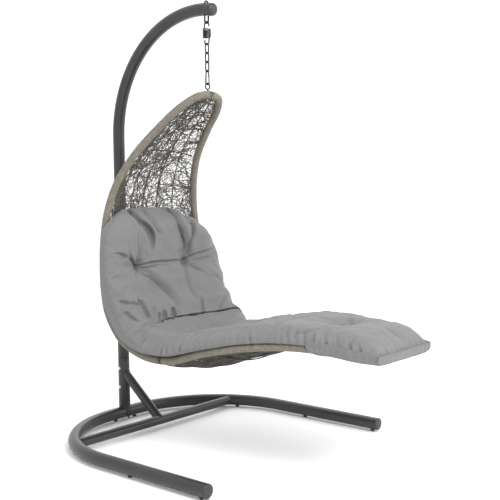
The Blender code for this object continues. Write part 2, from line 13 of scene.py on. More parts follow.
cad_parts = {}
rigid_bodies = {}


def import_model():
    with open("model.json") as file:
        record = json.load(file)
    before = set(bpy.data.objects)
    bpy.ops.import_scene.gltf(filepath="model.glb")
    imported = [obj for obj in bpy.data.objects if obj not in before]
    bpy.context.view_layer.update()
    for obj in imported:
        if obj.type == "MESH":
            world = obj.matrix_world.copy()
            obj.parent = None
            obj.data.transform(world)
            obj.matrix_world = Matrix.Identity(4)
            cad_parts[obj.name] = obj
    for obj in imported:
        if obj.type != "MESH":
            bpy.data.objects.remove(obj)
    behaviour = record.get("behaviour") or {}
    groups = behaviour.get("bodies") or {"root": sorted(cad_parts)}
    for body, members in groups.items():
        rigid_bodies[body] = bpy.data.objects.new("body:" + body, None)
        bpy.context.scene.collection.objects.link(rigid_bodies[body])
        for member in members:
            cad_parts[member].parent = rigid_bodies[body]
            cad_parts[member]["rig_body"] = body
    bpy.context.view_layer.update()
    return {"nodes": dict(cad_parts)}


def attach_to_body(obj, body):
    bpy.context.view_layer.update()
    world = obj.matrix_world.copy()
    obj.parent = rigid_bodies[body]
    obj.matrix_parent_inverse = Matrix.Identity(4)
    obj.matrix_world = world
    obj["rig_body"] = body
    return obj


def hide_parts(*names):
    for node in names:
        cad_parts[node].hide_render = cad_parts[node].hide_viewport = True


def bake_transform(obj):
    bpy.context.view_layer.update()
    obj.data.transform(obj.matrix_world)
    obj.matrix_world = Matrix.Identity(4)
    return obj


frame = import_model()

RANDOM = np.random.default_rng(7)

# ---------------- driving dimensions, as in the CAD source
POST_Y = 0.80730
TUBE_R = 0.0285
TUBE_Z = 0.0370
GAP = 0.0004
BASE_HALF_WIDTH = 0.593
BASE_CORNER_R = 0.526
LEG_END_DEPTH = -1.134
CROSSBAR_R = 0.0222
CROSSBAR_DEPTH = -0.257
BRACE_TOP_Z = 0.247
JOINT_Z = 0.320
ARC_START_Z = 1.425
ARC_R = 0.547
ARC_ANGLE = math.radians(99.1)
ARM_TIP = 0.0100
BOLT_HEIGHTS = (0.264, 0.169)
FOOT_R = 0.0100
FEET = ((0.593, -1.103), (0.593, -0.700), (0.537, -0.290), (0.063, 0.000))

HANG_DEPTH = -0.6086
HANG_Y = POST_Y + HANG_DEPTH
LOOP_R = 0.0040
LOOP_HALF_WIDTH = 0.0120
LOOP_TOP_Z = 2.0045
LOOP_BOTTOM_Z = 1.9070
WIRE_R = 0.0031
SPRING_COIL_R = 0.0164
SPRING_TURNS = 5
SPRING_COIL_TOP_Z = 1.8820
SPRING_COIL_BOTTOM_Z = 1.8410
SPRING_BOTTOM_Z = 1.8120
FIRST_LINK_TOP_Z = SPRING_BOTTOM_Z + 2.0 * WIRE_R + GAP
LINK_PITCH = 0.0400
LINK_HALF_WIDTH = 0.0100
LINK_COUNT = 3
SNAP_TOP_Z = FIRST_LINK_TOP_Z - LINK_COUNT * LINK_PITCH
SNAP_BOTTOM_Z = SNAP_TOP_Z - 0.0570 - 2.0 * WIRE_R - GAP
SNAP_TOP_HALF_WIDTH = 0.0075
SNAP_BOTTOM_HALF_WIDTH = 0.0105
GATE_SHARE = 0.62
EYE_R = 0.0140
EYE_Z = SNAP_BOTTOM_Z + 2.0 * WIRE_R + GAP - EYE_R

RIM_TUBE_R = 0.0125
WRAP_R = 0.0178
RIM_SPLIT = 0.585
RIM_STATIONS = (            # half width, distance behind the hanging line, height
    (0.000, -0.012, 1.588),
    (0.072, 0.002, 1.574),
    (0.117, 0.050, 1.534),
    (0.157, 0.149, 1.449),
    (0.211, 0.280, 1.308),
    (0.256, 0.347, 1.180),
    (0.286, 0.375, 1.054),
    (0.308, 0.376, 0.930),
    (0.325, 0.362, 0.780),
    (0.332, 0.330, 0.610),
    (0.333, 0.240, 0.495),
    (0.331, 0.100, 0.437),
    (0.328, -0.040, 0.431),
    (0.308, -0.240, 0.484),
    (0.275, -0.450, 0.527),
    (0.240, -0.640, 0.546),
    (0.214, -0.800, 0.545),
    (0.188, -0.940, 0.534),
    (0.120, -1.004, 0.529),
    (0.000, -1.016, 0.528),
)
SAG = (                     # share of the half rim, depth of the woven bed behind it
    (0.00, 0.000), (0.12, 0.030), (0.26, 0.068), (0.38, 0.088), (0.50, 0.078), (0.60, 0.068),
    (0.70, 0.058), (0.78, 0.032), (0.90, 0.016), (0.95, 0.003), (0.96, 0.000), (1.00, 0.000),
)
WEB_WALL = 0.0030
WEB_START = 0.044
WEB_END = 0.945
RIB_R = 0.0030
RIB_PLACES = (-0.66, -0.33, 0.0, 0.33, 0.66)
HOOP_SHARES = (0.17, 0.30, 0.43, 0.56, 0.68, 0.80, 0.91)
CUSHION_START = 0.258

X_AXIS = np.array((1.0, 0.0, 0.0))
Y_AXIS = np.array((0.0, 1.0, 0.0))
Z_AXIS = np.array((0.0, 0.0, 1.0))
QUARTER = math.pi / 2.0


def place(depth, height, across=0.0):
    """A point from its depth behind the post's axis, its height and its X."""
    return np.array((across, POST_Y + depth, height))


# ---------------- camera and studio
CAMERA_PLACE = (-2.977, -2.5887, 1.201)
CAMERA_HEADING = math.radians(-49.46)
CAMERA_TILT = math.radians(-4.44)
CAMERA_ROLL = math.radians(-0.64)
CAMERA_LENS = 64.31
STUDIO_LIGHTS = (           # name, place, aimed at, size, watts
    ("key_light", (-1.4, -3.6, 3.9), (0.0, 0.0, 0.8), 1.6, 135.0),
    ("fill_light", (2.6, -3.8, 2.4), (0.0, 0.0, 0.8), 3.0, 40.0),
    ("rear_light", (3.2, 3.0, 3.0), (0.0, 0.0, 1.0), 2.5, 26.0),
)


EXPOSURE = 0.28
FLOOR_REACH = 40.0


def add_camera():
    data = bpy.data.cameras.new("camera")
    data.lens = CAMERA_LENS
    camera = bpy.data.objects.new("camera", data)
    bpy.context.scene.collection.objects.link(camera)
    heading = Matrix.Rotation(CAMERA_HEADING, 4, "Z")
    tilt = Matrix.Rotation(QUARTER + CAMERA_TILT, 4, "X")
    roll = Matrix.Rotation(CAMERA_ROLL, 4, "Z")
    camera.matrix_world = Matrix.Translation(CAMERA_PLACE) @ heading @ tilt @ roll
    bpy.context.scene.camera = camera


def add_studio():
    """White surround and floor, with large soft lights."""
    scene = bpy.context.scene
    scene.view_settings.view_transform = "Standard"
    scene.view_settings.exposure = EXPOSURE
    scene.world = bpy.data.worlds.new("studio")
    scene.world.use_nodes = True
    background = scene.world.node_tree.nodes["Background"]
    background.inputs["Color"].default_value = (1.0, 1.0, 1.0, 1.0)
    background.inputs["Strength"].default_value = 1.0
    for name, where, target, size, watts in STUDIO_LIGHTS:
        data = bpy.data.lights.new(name, "AREA")
        data.energy = watts
        data.size = size
        light = bpy.data.objects.new(name, data)
        light.location = where
        direction = Vector(target) - Vector(where)
        light.rotation_euler = direction.to_track_quat("-Z", "Y").to_euler()
        scene.collection.objects.link(light)
    corners = [(x * FLOOR_REACH, y * FLOOR_REACH, 0.0) for x, y in ((-1, -1), (1, -1), (1, 1), (-1, 1))]
    floor = add_object("floor", corners, [(0, 1, 2, 3)])
    material, tree, shader = new_material("studio_floor", 0.9)
    shader_colour(tree, shader, noise(tree, 3.0, 2.0), grey(0.93), grey(0.95))
    floor.data.materials.append(material)


# ---------------- materials
def new_material(name, roughness, metallic=0.0):
    material = bpy.data.materials.new(name)
    material.use_nodes = True
    tree = material.node_tree
    shader = tree.nodes["Principled BSDF"]
    shader.inputs["Roughness"].default_value = roughness
    shader.inputs["Metallic"].default_value = metallic
    return material, tree, shader


def node(tree, kind, inputs=None, **settings):
    """A shader node; an input is a value, or another node's output to link."""
    made = tree.nodes.new(kind)
    for name, value in settings.items():
        setattr(made, name, value)
    for name, value in (inputs or {}).items():
        if isinstance(value, bpy.types.NodeSocket):
            tree.links.new(value, made.inputs[name])
        else:
            made.inputs[name].default_value = value
    return made


def object_place(tree):
    return node(tree, "ShaderNodeTexCoord").outputs["Object"]


EVEN = (1.0, 1.0, 1.0)      # a noise that isn't stretched


def noise(tree, scale, detail=3.0, roughness=0.55, stretch=EVEN):
    """Noise over the object's own coordinates, per metre."""
    where = node(tree, "ShaderNodeMapping", {"Vector": object_place(tree), "Scale": stretch})
    wanted = {"Vector": where.outputs["Vector"], "Scale": scale, "Detail": detail, "Roughness": roughness}
    return node(tree, "ShaderNodeTexNoise", wanted).outputs["Fac"]


def spread(tree, value, low, high, out_low=0.0, out_high=1.0):
    """Stretches the middle of a noise value to a wider range."""
    wanted = {"Value": value, "From Min": low, "From Max": high, "To Min": out_low, "To Max": out_high}
    return node(tree, "ShaderNodeMapRange", wanted).outputs["Result"]


def blend_colour(tree, factor, first, second):
    mix = node(tree, "ShaderNodeMix", data_type="RGBA")
    tree.links.new(factor, mix.inputs["Factor"])
    for socket, colour in ((mix.inputs[6], first), (mix.inputs[7], second)):
        if isinstance(colour, bpy.types.NodeSocket):
            tree.links.new(colour, socket)
        else:
            socket.default_value = (*colour, 1.0)
    return mix.outputs[2]


def grey(level):
    return (level, level, level)


def shader_colour(tree, shader, factor, first, second):
    tree.links.new(blend_colour(tree, factor, first, second), shader.inputs["Base Color"])


def shader_bump(tree, shader, height, distance, strength=1.0, below=None):
    """Relief from a height, distance metres deep, on top of another bump if there is one."""
    wanted = {"Height": height, "Distance": distance, "Strength": strength}
    if below is not None:
        wanted["Normal"] = below
    bump = node(tree, "ShaderNodeBump", wanted).outputs["Normal"]
    tree.links.new(bump, shader.inputs["Normal"])
    return bump


def shader_roughness(tree, shader, value, low, high):
    tree.links.new(spread(tree, value, 0.3, 0.7, low, high), shader.inputs["Roughness"])


def coated(name, roughness, metallic, drift, dark, light, gloss, reliefs):
    """A material whose colour and gloss drift a little over its relief.

    drift and gloss are a noise's scale and range; a relief is a noise's scale, detail and
    stretch, with its depth and strength, the coarsest first.
    """
    material, tree, shader = new_material(name, roughness, metallic)
    scale, low, high = drift
    shader_colour(tree, shader, spread(tree, noise(tree, scale), low, high), dark, light)
    scale, low, high = gloss
    shader_roughness(tree, shader, noise(tree, scale), low, high)
    below = None
    for scale, detail, stretch, depth, strength in reliefs:
        height = noise(tree, scale, detail, stretch=stretch)
        below = shader_bump(tree, shader, height, depth, strength, below)
    return material


def powder_coat():
    """Dark grey satin powder coat with a fine orange peel."""
    reliefs = ((520.0, 2.0, EVEN, 0.00030, 0.55), (2600.0, 1.0, EVEN, 0.00006, 0.5))
    return coated("powder_coat_satin", 0.34, 0.0, (9.0, 0.35, 0.65), (0.017, 0.0175, 0.018),
                  (0.024, 0.0245, 0.025), (60.0, 0.28, 0.40), reliefs)


def black_steel():
    """Blackened steel wire, its gloss varying a little at random."""
    return coated("blackened_steel", 0.36, 0.75, (240.0, 0.4, 0.62), (0.022, 0.022, 0.024),
                  (0.055, 0.054, 0.053), (330.0, 0.28, 0.46), ((900.0, 2.0, EVEN, 0.00008, 0.6),))


def bright_steel():
    """Zinc-plated bolts and nuts, brushed a little."""
    return coated("zinc_plate", 0.26, 1.0, (380.0, 0.38, 0.62), (0.60, 0.60, 0.59),
                  (0.78, 0.78, 0.76), (700.0, 0.20, 0.34), ((1800.0, 2.0, (1.0, 8.0, 1.0), 0.00003, 0.6),))


def black_plastic():
    """Moulded plastic of the glides and the end caps."""
    return coated("moulded_plastic", 0.5, 0.0, (70.0, 0.35, 0.65), (0.022, 0.022, 0.023),
                  (0.031, 0.031, 0.032), (150.0, 0.34, 0.50), ((1500.0, 2.0, EVEN, 0.00005, 0.6),))


def wicker(name, dark, light, lightest):
    """Synthetic wicker: each length differs a little, with fine grain along it and lighter turns mixed in at
    random. The weave's darker colours are painted shade.
    """
    material, tree, shader = new_material(name, 0.6)
    lengths = spread(tree, noise(tree, 55.0, 4.0, 0.7), 0.36, 0.64)
    turns = spread(tree, noise(tree, 260.0, 2.0), 0.38, 0.62)
    between = blend_colour(tree, lengths, dark, light)
    shader_colour(tree, shader, spread(tree, turns, 0.0, 1.0, 0.0, 0.45), between, lightest)
    shader_roughness(tree, shader, noise(tree, 400.0), 0.52, 0.70)
    shader_bump(tree, shader, noise(tree, 2100.0, 3.0), 0.00018, 0.7)
    shader.inputs["Specular IOR Level"].default_value = 0.32
    return material


YARN_SCALE = 392.0


def canvas():
    """Grey outdoor canvas: a plain weave, heathered yarns and a soft sheen."""
    material, tree, shader = new_material("canvas_weave", 0.93)
    where = object_place(tree)
    waves = []
    for direction in ("X", "Y", "Z"):
        wanted = {"Vector": where, "Scale": YARN_SCALE, "Distortion": 0.6, "Detail": 2.0}
        wave = node(tree, "ShaderNodeTexWave", wanted, wave_type="BANDS", bands_direction=direction)
        waves.append(wave.outputs["Fac"])
    first = node(tree, "ShaderNodeMath", {0: waves[0], 1: waves[1]}, operation="MULTIPLY")
    weave = node(tree, "ShaderNodeMath", {0: first.outputs[0], 1: waves[2]}, operation="ADD")
    heather = spread(tree, noise(tree, 900.0, 3.0, 0.7), 0.36, 0.64)
    slub = spread(tree, noise(tree, 120.0, 3.0, 0.6, (1.0, 1.0, 6.0)), 0.35, 0.65)
    patches = spread(tree, noise(tree, 14.0, 2.0), 0.3, 0.7)
    base = blend_colour(tree, heather, grey(0.150), grey(0.191))
    streaked = blend_colour(tree, spread(tree, slub, 0.0, 1.0, 0.0, 0.30), base, grey(0.133))
    shader_colour(tree, shader, spread(tree, patches, 0.0, 1.0, 0.0, 0.16), streaked, grey(0.202))
    cloth = shader_bump(tree, shader, weave.outputs[0], 0.00022, 0.55)
    shader_bump(tree, shader, noise(tree, 75.0, 3.0), 0.0010, 0.35, cloth)
    shader.inputs["Sheen Weight"].default_value = 0.18
    shader.inputs["Sheen Roughness"].default_value = 0.45
    shader.inputs["Specular IOR Level"].default_value = 0.15
    return material


# ---------------- mesh making
def unit(vectors):
    return vectors / np.maximum(np.linalg.norm(vectors, axis=-1, keepdims=True), 1e-12)


def arc(centre, radius, start, end, steps, first_axis, second_axis):
    """Points of an arc; an angle turns from first_axis towards second_axis."""
    angles = np.linspace(start, end, steps + 1)[:, None]
    return centre + radius * (np.cos(angles) * first_axis + np.sin(angles) * second_axis)


def line(first, last, steps=1):
    return np.linspace(first, last, steps + 1)


def path_runs(path):
    """Distance of each point of a path from its start."""
    return np.concatenate([[0.0], np.cumsum(np.linalg.norm(np.diff(path, axis=0), axis=1))])


def merged(*shapes):
    """Several (vertices, faces) as one."""
    vertices, faces, count = [], [], 0
    for points, cells in shapes:
        vertices.append(points)
        faces.extend(tuple(index + count for index in cell) for cell in cells)
        count += len(points)
    return np.vstack(vertices), faces


def cross_axes(path, cyclic=False):
    """Unit tangents of a path and two cross directions that twist as little as they can."""
    if cyclic:
        ahead, back = np.roll(path, -1, 0), np.roll(path, 1, 0)
    else:
        ahead, back = np.vstack([path[1:], path[-1:]]), np.vstack([path[:1], path[:-1]])
    tangents = unit(ahead - back)
    helper = X_AXIS if abs(tangents[0][0]) < 0.8 else Z_AXIS
    side = unit(np.cross(tangents[0], helper))
    sides = []
    for tangent in tangents:
        side = unit(side - tangent * np.dot(side, tangent))
        sides.append(side)
    sides = np.array(sides)
    return tangents, sides, np.cross(tangents, sides)


def grid_faces(rows, columns, closed_rows=False, closed_columns=True):
    """Quads of a grid whose vertices run column by column within each row."""
    row = np.arange(rows if closed_rows else rows - 1)[:, None]
    column = np.arange(columns if closed_columns else columns - 1)[None, :]
    next_row, next_column = (row + 1) % rows, (column + 1) % columns
    corners = (row * columns + column, row * columns + next_column,
               next_row * columns + next_column, next_row * columns + column)
    return np.stack(corners, -1).reshape(-1, 4).tolist()


def bar(path, radius, sides=20, cyclic=False):
    """A round bar along a path, its radius fixed or one value per point, with closed ends."""
    path = np.asarray(path, float)
    _, first, second = cross_axes(path, cyclic)
    radii = np.broadcast_to(np.asarray(radius, float), (len(path),))[:, None, None]
    angles = np.linspace(0.0, 2.0 * math.pi, sides, endpoint=False)[None, :, None]
    rings = path[:, None] + radii * (np.cos(angles) * first[:, None] + np.sin(angles) * second[:, None])
    vertices = rings.reshape(-1, 3)
    faces = grid_faces(len(path), sides, closed_rows=cyclic)
    if not cyclic:
        faces.append(tuple(range(sides - 1, -1, -1)))
        faces.append(tuple(range(len(vertices) - sides, len(vertices))))
    return vertices, faces


def turned(profile, origin, axis, steps=40):
    """A solid of revolution from (radius, distance along the axis) pairs, first and last on the axis."""
    axis = unit(np.asarray(axis, float))
    helper = X_AXIS if abs(axis[0]) < 0.8 else Z_AXIS
    first = unit(np.cross(axis, helper))
    second = np.cross(axis, first)
    angles = np.linspace(0.0, 2.0 * math.pi, steps, endpoint=False)[:, None]
    spokes = np.cos(angles) * first + np.sin(angles) * second
    rings = [origin + radius * spokes + along * axis for radius, along in profile[1:-1]]
    ends = [origin + along * axis for _, along in (profile[0], profile[-1])]
    vertices = np.vstack([*rings, ends])
    faces = grid_faces(len(rings), steps)
    last_ring, first_end, last_end = (len(rings) - 1) * steps, len(rings) * steps, len(rings) * steps + 1
    for step in range(steps):
        following = (step + 1) % steps
        faces.append((first_end, following, step))
        faces.append((last_end, last_ring + step, last_ring + following))
    return vertices, faces


def rounded(corners, radius=0.0008, steps=3):
    """A turned profile with its inner corners rounded off."""
    points = [np.array(corner, float) for corner in corners]
    made = [points[0]]
    for before, corner, after in zip(points, points[1:], points[2:]):
        cut_before = min(radius, 0.45 * np.linalg.norm(corner - before))
        cut_after = min(radius, 0.45 * np.linalg.norm(corner - after))
        start = corner + unit(before - corner) * cut_before
        end = corner + unit(after - corner) * cut_after
        for step in range(steps + 1):
            t = step / steps
            made.append((1 - t) ** 2 * start + 2 * t * (1 - t) * corner + t * t * end)
    made.append(points[-1])
    return made


def add_object(name, vertices, faces):
    """A new mesh object in the scene."""
    mesh = bpy.data.meshes.new(name)
    mesh.from_pydata(np.asarray(vertices).tolist(), [], faces)
    obj = bpy.data.objects.new(name, mesh)
    bpy.context.scene.collection.objects.link(obj)
    return obj


def piece(name, shape, material, nodes=(), body=None, smooth_angle=40.0):
    """A shown mesh that rides on a CAD body and stands for CAD nodes."""
    obj = add_object(name, *shape)
    mesh = obj.data
    mesh.validate()
    mesh.materials.append(material)
    mesh.shade_smooth()
    mesh.set_sharp_from_angle(angle=math.radians(smooth_angle))
    return attach(obj, nodes, body)


def finer(name, form, shape, material, smooth_angle=40.0):
    """A finer mesh in place of one CAD node, whose name gets a word for its form."""
    return piece(f"{name}_{form}", shape, material, [name], smooth_angle=smooth_angle)


def paint_node(name, material):
    """Gives a CAD node that stays as it is a material."""
    materials = frame["nodes"][name].data.materials
    materials.clear()
    materials.append(material)


def attach(obj, nodes=(), body=None):
    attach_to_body(obj, body or frame["nodes"][nodes[0]]["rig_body"])
    if nodes:
        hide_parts(*nodes)
    return obj


# ---------------- stand
ARM_DIRECTION = np.array((0.0, -math.sin(ARC_ANGLE), math.cos(ARC_ANGLE)))


TUBE_SIDES = 44
BAR_SIDES = 36
CROSSBAR_HALF = 0.512
JOINT_HALF_GAP = 0.0006
EDGE_R = 0.0016             # rounding of the two tube ends that meet at the post's joint
BEAD_R = 0.0024
CAP_PLUG = ((0.0, -0.012), (0.0240, -0.012), (0.0240, 0.0004), (TUBE_R, 0.0004))
LEG_CAP_DOME = ((TUBE_R, 0.0022), (TUBE_R * 0.84, 0.0052), (TUBE_R * 0.5, 0.0068), (0.0, 0.0072))
ARM_CAP_DOME = (
    (TUBE_R, 0.0030), (TUBE_R * 0.90, 0.0088), (TUBE_R * 0.62, 0.0132), (TUBE_R * 0.3, 0.0148),
    (0.0, 0.0150),
)


def base_path(steps=28):
    offset = BASE_HALF_WIDTH - BASE_CORNER_R
    depth = -BASE_CORNER_R
    left = arc(place(depth, TUBE_Z, -offset), BASE_CORNER_R, math.pi, QUARTER, steps, X_AXIS, Y_AXIS)
    right = arc(place(depth, TUBE_Z, offset), BASE_CORNER_R, QUARTER, 0.0, steps, X_AXIS, Y_AXIS)
    ends = [place(LEG_END_DEPTH, TUBE_Z, side * BASE_HALF_WIDTH) for side in (-1.0, 1.0)]
    return np.vstack([line(ends[0], left[0], 6)[:-1], left, right, line(right[-1], ends[1], 6)[1:]])


def arm_path():
    bend = arc(place(-ARC_R, ARC_START_Z), ARC_R, 0.0, ARC_ANGLE, 44, Y_AXIS, Z_AXIS)
    return np.vstack([bend, bend[-1] + ARM_DIRECTION * ARM_TIP])


def upright(low, high, steps=6):
    """Straight length of the post whose two ends have small rounded edges."""
    first, last = (0.0, 0.0004, EDGE_R), (EDGE_R, 0.0004, 0.0)
    middle = np.linspace(low + EDGE_R, high - EDGE_R, steps)[1:-1]
    heights = [*[low + step for step in first], *middle, *[high - step for step in last]]
    cut = (0.0014, 0.0004, 0.0)
    radii = [TUBE_R - step for step in (*cut, *[0.0] * (steps - 2), *cut[::-1])]
    return heights, radii


def path_distance(point, path):
    """Distance of a point from a path of straight stretches."""
    starts, spans = path[:-1], path[1:] - path[:-1]
    along = np.clip(((point - starts) * spans).sum(1) / (spans * spans).sum(1), 0.0, 1.0)
    return np.linalg.norm(point - starts - spans * along[:, None], axis=1).min()


def weld_bead(origin, direction, radius, other_path, other_radius, reach):
    """A rippled bead where a round bar meets a tube, both given by their centre lines."""
    direction = unit(np.asarray(direction, float))
    helper = X_AXIS if abs(direction[0]) < 0.8 else Z_AXIS
    first = unit(np.cross(direction, helper))
    second = np.cross(direction, first)
    count = 96
    points, radii = [], []
    for step in range(count):
        angle = 2.0 * math.pi * step / count
        start = origin + radius * (math.cos(angle) * first + math.sin(angle) * second)
        low, high = 0.0, reach
        for _ in range(22):
            middle = 0.5 * (low + high)
            if path_distance(start + direction * middle, other_path) > other_radius:
                low = middle
            else:
                high = middle
        points.append(start + direction * low)
        radii.append(BEAD_R + 0.0004 * math.sin(angle * 16.0) + 0.0001 * math.sin(angle * 37.0))
    return bar(points, radii, 10, cyclic=True)


def build_stand(coat, plastic, steel):
    base = base_path()
    middle = place(CROSSBAR_DEPTH, TUBE_Z)
    crossbar = line(middle - X_AXIS * CROSSBAR_HALF, middle + X_AXIS * CROSSBAR_HALF, 4)
    brace_top = place(0.0, BRACE_TOP_Z)
    brace_direction = unit(brace_top - middle)
    brace = line(middle + brace_direction * 0.010, brace_top, 4)
    heights, stub_radii = upright(TUBE_Z, JOINT_Z - JOINT_HALF_GAP)
    stub = [place(0.0, height) for height in heights]
    heights, radii = upright(JOINT_Z + JOINT_HALF_GAP, ARC_START_Z)
    bend = arm_path()
    arm = np.vstack([[place(0.0, height) for height in heights[:-3]], bend])
    arm_radii = [*radii[:-3], *[TUBE_R] * len(bend)]
    tubes = {
        "base_tube": bar(base, TUBE_R, TUBE_SIDES),
        "crossbar": bar(crossbar, CROSSBAR_R, BAR_SIDES),
        "brace": bar(brace, CROSSBAR_R - GAP, BAR_SIDES),
        "post_stub": bar(stub, stub_radii, TUBE_SIDES),
        "post_arm": bar(arm, arm_radii, TUBE_SIDES),
    }
    for name, tube in tubes.items():
        finer(name, "round", tube, coat)
    paint_node("post_spigot", coat)

    post_line = line(place(0.0, 0.0), place(0.0, 0.5))
    on_brace = middle + brace_direction * 0.12
    beads = [
        weld_bead(middle, X_AXIS, CROSSBAR_R, base, TUBE_R, 0.6),
        weld_bead(middle, -X_AXIS, CROSSBAR_R, base, TUBE_R, 0.6),
        weld_bead(on_brace, brace_direction, CROSSBAR_R, post_line, TUBE_R, 0.3),
        weld_bead(on_brace, -brace_direction, CROSSBAR_R, crossbar, CROSSBAR_R, 0.12),
        weld_bead(place(0.0, 0.10), -Z_AXIS, TUBE_R, base, TUBE_R, 0.09),
    ]
    piece("weld_beads", merged(*beads), coat, body="stand", smooth_angle=80.0)

    leg_cap = rounded(CAP_PLUG + LEG_CAP_DOME, 0.003)
    for side, tag in ((-1.0, "left"), (1.0, "right")):
        mouth = place(LEG_END_DEPTH, TUBE_Z, side * BASE_HALF_WIDTH)
        finer(f"leg_cap_{tag}", "round", turned(leg_cap, mouth, -Y_AXIS), plastic)
    arm_cap = rounded(CAP_PLUG + ARM_CAP_DOME, 0.004)
    finer("arm_cap", "round", turned(arm_cap, bend[-1], ARM_DIRECTION), plastic)
    build_glides(plastic)
    build_bolts(steel)


def build_glides(plastic):
    flat = TUBE_Z - TUBE_R + 0.0006
    outline = ((0.0, 0.0), (FOOT_R - 0.0012, 0.0), (FOOT_R, 0.0012), (FOOT_R, flat * 0.62),
               (FOOT_R - 0.0008, flat * 0.70), (FOOT_R, flat * 0.80), (FOOT_R, flat), (0.0, flat))
    profile = rounded(outline, 0.0006)
    for number, (half_spacing, depth) in enumerate(FEET, 1):
        for side, tag in ((-1.0, "left"), (1.0, "right")):
            glide = turned(profile, place(depth, 0.0, side * half_spacing), Z_AXIS, 32)
            finer(f"foot_{number}_{tag}", "round", glide, plastic)


def hex_nut(centre, across_flats, thickness, bore):
    """A hexagonal nut along X with chamfered corners and a bore."""
    steps = 48
    angles = np.linspace(0.0, 2.0 * math.pi, steps, endpoint=False)
    sector = (angles + math.pi / 6.0) % (math.pi / 3.0) - math.pi / 6.0
    hexagon = across_flats / np.cos(sector)
    chamfer = np.minimum(hexagon, across_flats * 1.07)
    inside = np.full(steps, bore)
    profile = ((inside, 0.0), (chamfer - 0.0006, 0.0), (hexagon, 0.0008), (hexagon, thickness - 0.0010),
               (chamfer - 0.0006, thickness), (inside, thickness))
    spokes = np.cos(angles)[:, None] * Y_AXIS + np.sin(angles)[:, None] * Z_AXIS
    rings = []
    for radii, along in profile:
        rings.append(centre + radii[:, None] * spokes + X_AXIS * along)
    return np.vstack(rings), grid_faces(len(rings), steps, closed_rows=True)


def build_bolts(steel):
    head = TUBE_R + GAP
    outline = (
        (0.0, -head - 0.0036), (0.0021, -head - 0.0036), (0.0024, -head - 0.0050),
        (0.0042, -head - 0.0048), (0.0066, -head - 0.0030), (0.0078, -head - 0.0006),
        (0.0078, -head), (0.0040, -head), (0.0040, head + 0.0090), (0.0, head + 0.0090),
    )
    profile = rounded(outline, 0.0006)
    for number, height in enumerate(BOLT_HEIGHTS, 1):
        bolt = turned(profile, place(0.0, height), X_AXIS, 32)
        finer(f"post_bolt_{number}", "round", bolt, steel)
        nut = hex_nut(place(0.0, height, head + 0.0006), 0.0072, 0.0062, 0.0044)
        finer(f"post_nut_{number}", "hex", nut, steel, 25.0)


# ---------------- hanging hardware
def oval(half_width, low, high, across, steps=14):
    """A closed round-ended loop between two heights on the hanging line."""
    top, bottom = place(HANG_DEPTH, high - half_width), place(HANG_DEPTH, low + half_width)
    return np.vstack([
        arc(top, half_width, 0.0, math.pi, steps, across, Z_AXIS),
        arc(bottom, half_width, math.pi, 2.0 * math.pi, steps, across, Z_AXIS),
    ])


def softened(path, passes=2):
    """The path with its corners cut, its ends kept."""
    for _ in range(passes):
        first = 0.75 * path[:-1] + 0.25 * path[1:]
        second = 0.25 * path[:-1] + 0.75 * path[1:]
        between = np.stack([first, second], 1).reshape(-1, 3)
        path = np.vstack([path[:1], between[1:-1], path[-1:]])
    return path


def spring_path():
    """One wire: open hook, close coil, open hook."""
    hook = SPRING_COIL_R - 0.003
    bearing_top = LOOP_BOTTOM_Z + LOOP_R + WIRE_R + GAP
    turns = (math.radians(-35.0), math.radians(205.0)), (math.radians(155.0), math.radians(395.0))
    upper = arc(place(HANG_DEPTH, bearing_top - hook), hook, *turns[0], 18, -Y_AXIS, Z_AXIS)
    lower = arc(place(HANG_DEPTH, SPRING_BOTTOM_Z + hook), hook, *turns[1], 18, Y_AXIS, Z_AXIS)
    steps = 20 * SPRING_TURNS + 10
    step = np.arange(steps + 1)[:, None]
    angles = QUARTER + 2.0 * math.pi * step / 20.0
    heights = SPRING_COIL_TOP_Z - (SPRING_COIL_TOP_Z - SPRING_COIL_BOTTOM_Z) * step / steps
    centre = place(HANG_DEPTH, 0.0) + heights * Z_AXIS
    coil = centre + SPRING_COIL_R * (np.cos(angles) * X_AXIS + np.sin(angles) * Y_AXIS)
    return softened(np.vstack([upper, coil, lower]))


EYE_STEM_RADII = (0.0062, 0.0050, 0.0042, 0.0037, 0.0034, 0.0033, 0.0033, 0.0034, 0.0036)


def build_hardware(steel):
    loop = bar(oval(LOOP_HALF_WIDTH, LOOP_BOTTOM_Z, LOOP_TOP_Z, X_AXIS), LOOP_R, 20, cyclic=True)
    finer("hanger_loop", "round", loop, steel, 80.0)

    spring = add_object("spring_round", *bar(spring_path(), WIRE_R, 14))
    spring.data.materials.append(steel)
    spring.data.shade_smooth()
    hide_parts("spring")
    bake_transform(spring)

    for index in range(LINK_COUNT):
        top = FIRST_LINK_TOP_Z - index * LINK_PITCH
        bottom = top - LINK_PITCH - 2.0 * WIRE_R - GAP
        across = X_AXIS if index % 2 == 0 else Y_AXIS
        link = bar(oval(LINK_HALF_WIDTH, bottom, top, across), WIRE_R, 18, cyclic=True)
        finer(f"chain_link_{index + 1}", "round", link, steel, 80.0)
    build_snap(steel)

    centre = place(HANG_DEPTH, EYE_Z)
    ring = arc(centre, EYE_R, -QUARTER, 3.0 * QUARTER, 40, X_AXIS, Z_AXIS)[:-1]
    tip = rim_at(0.0)[0]
    foot = np.array((0.0, (tip[1] + centre[1]) / 2.0, tip[2] + RIM_TUBE_R * 0.6))
    top = centre - Z_AXIS * EYE_R
    stem = bar(line(foot, top, len(EYE_STEM_RADII) - 1), EYE_STEM_RADII, 18)
    eye = merged(bar(ring, WIRE_R, 18, cyclic=True), stem)
    finer("rim_eye", "round", eye, steel, 80.0)


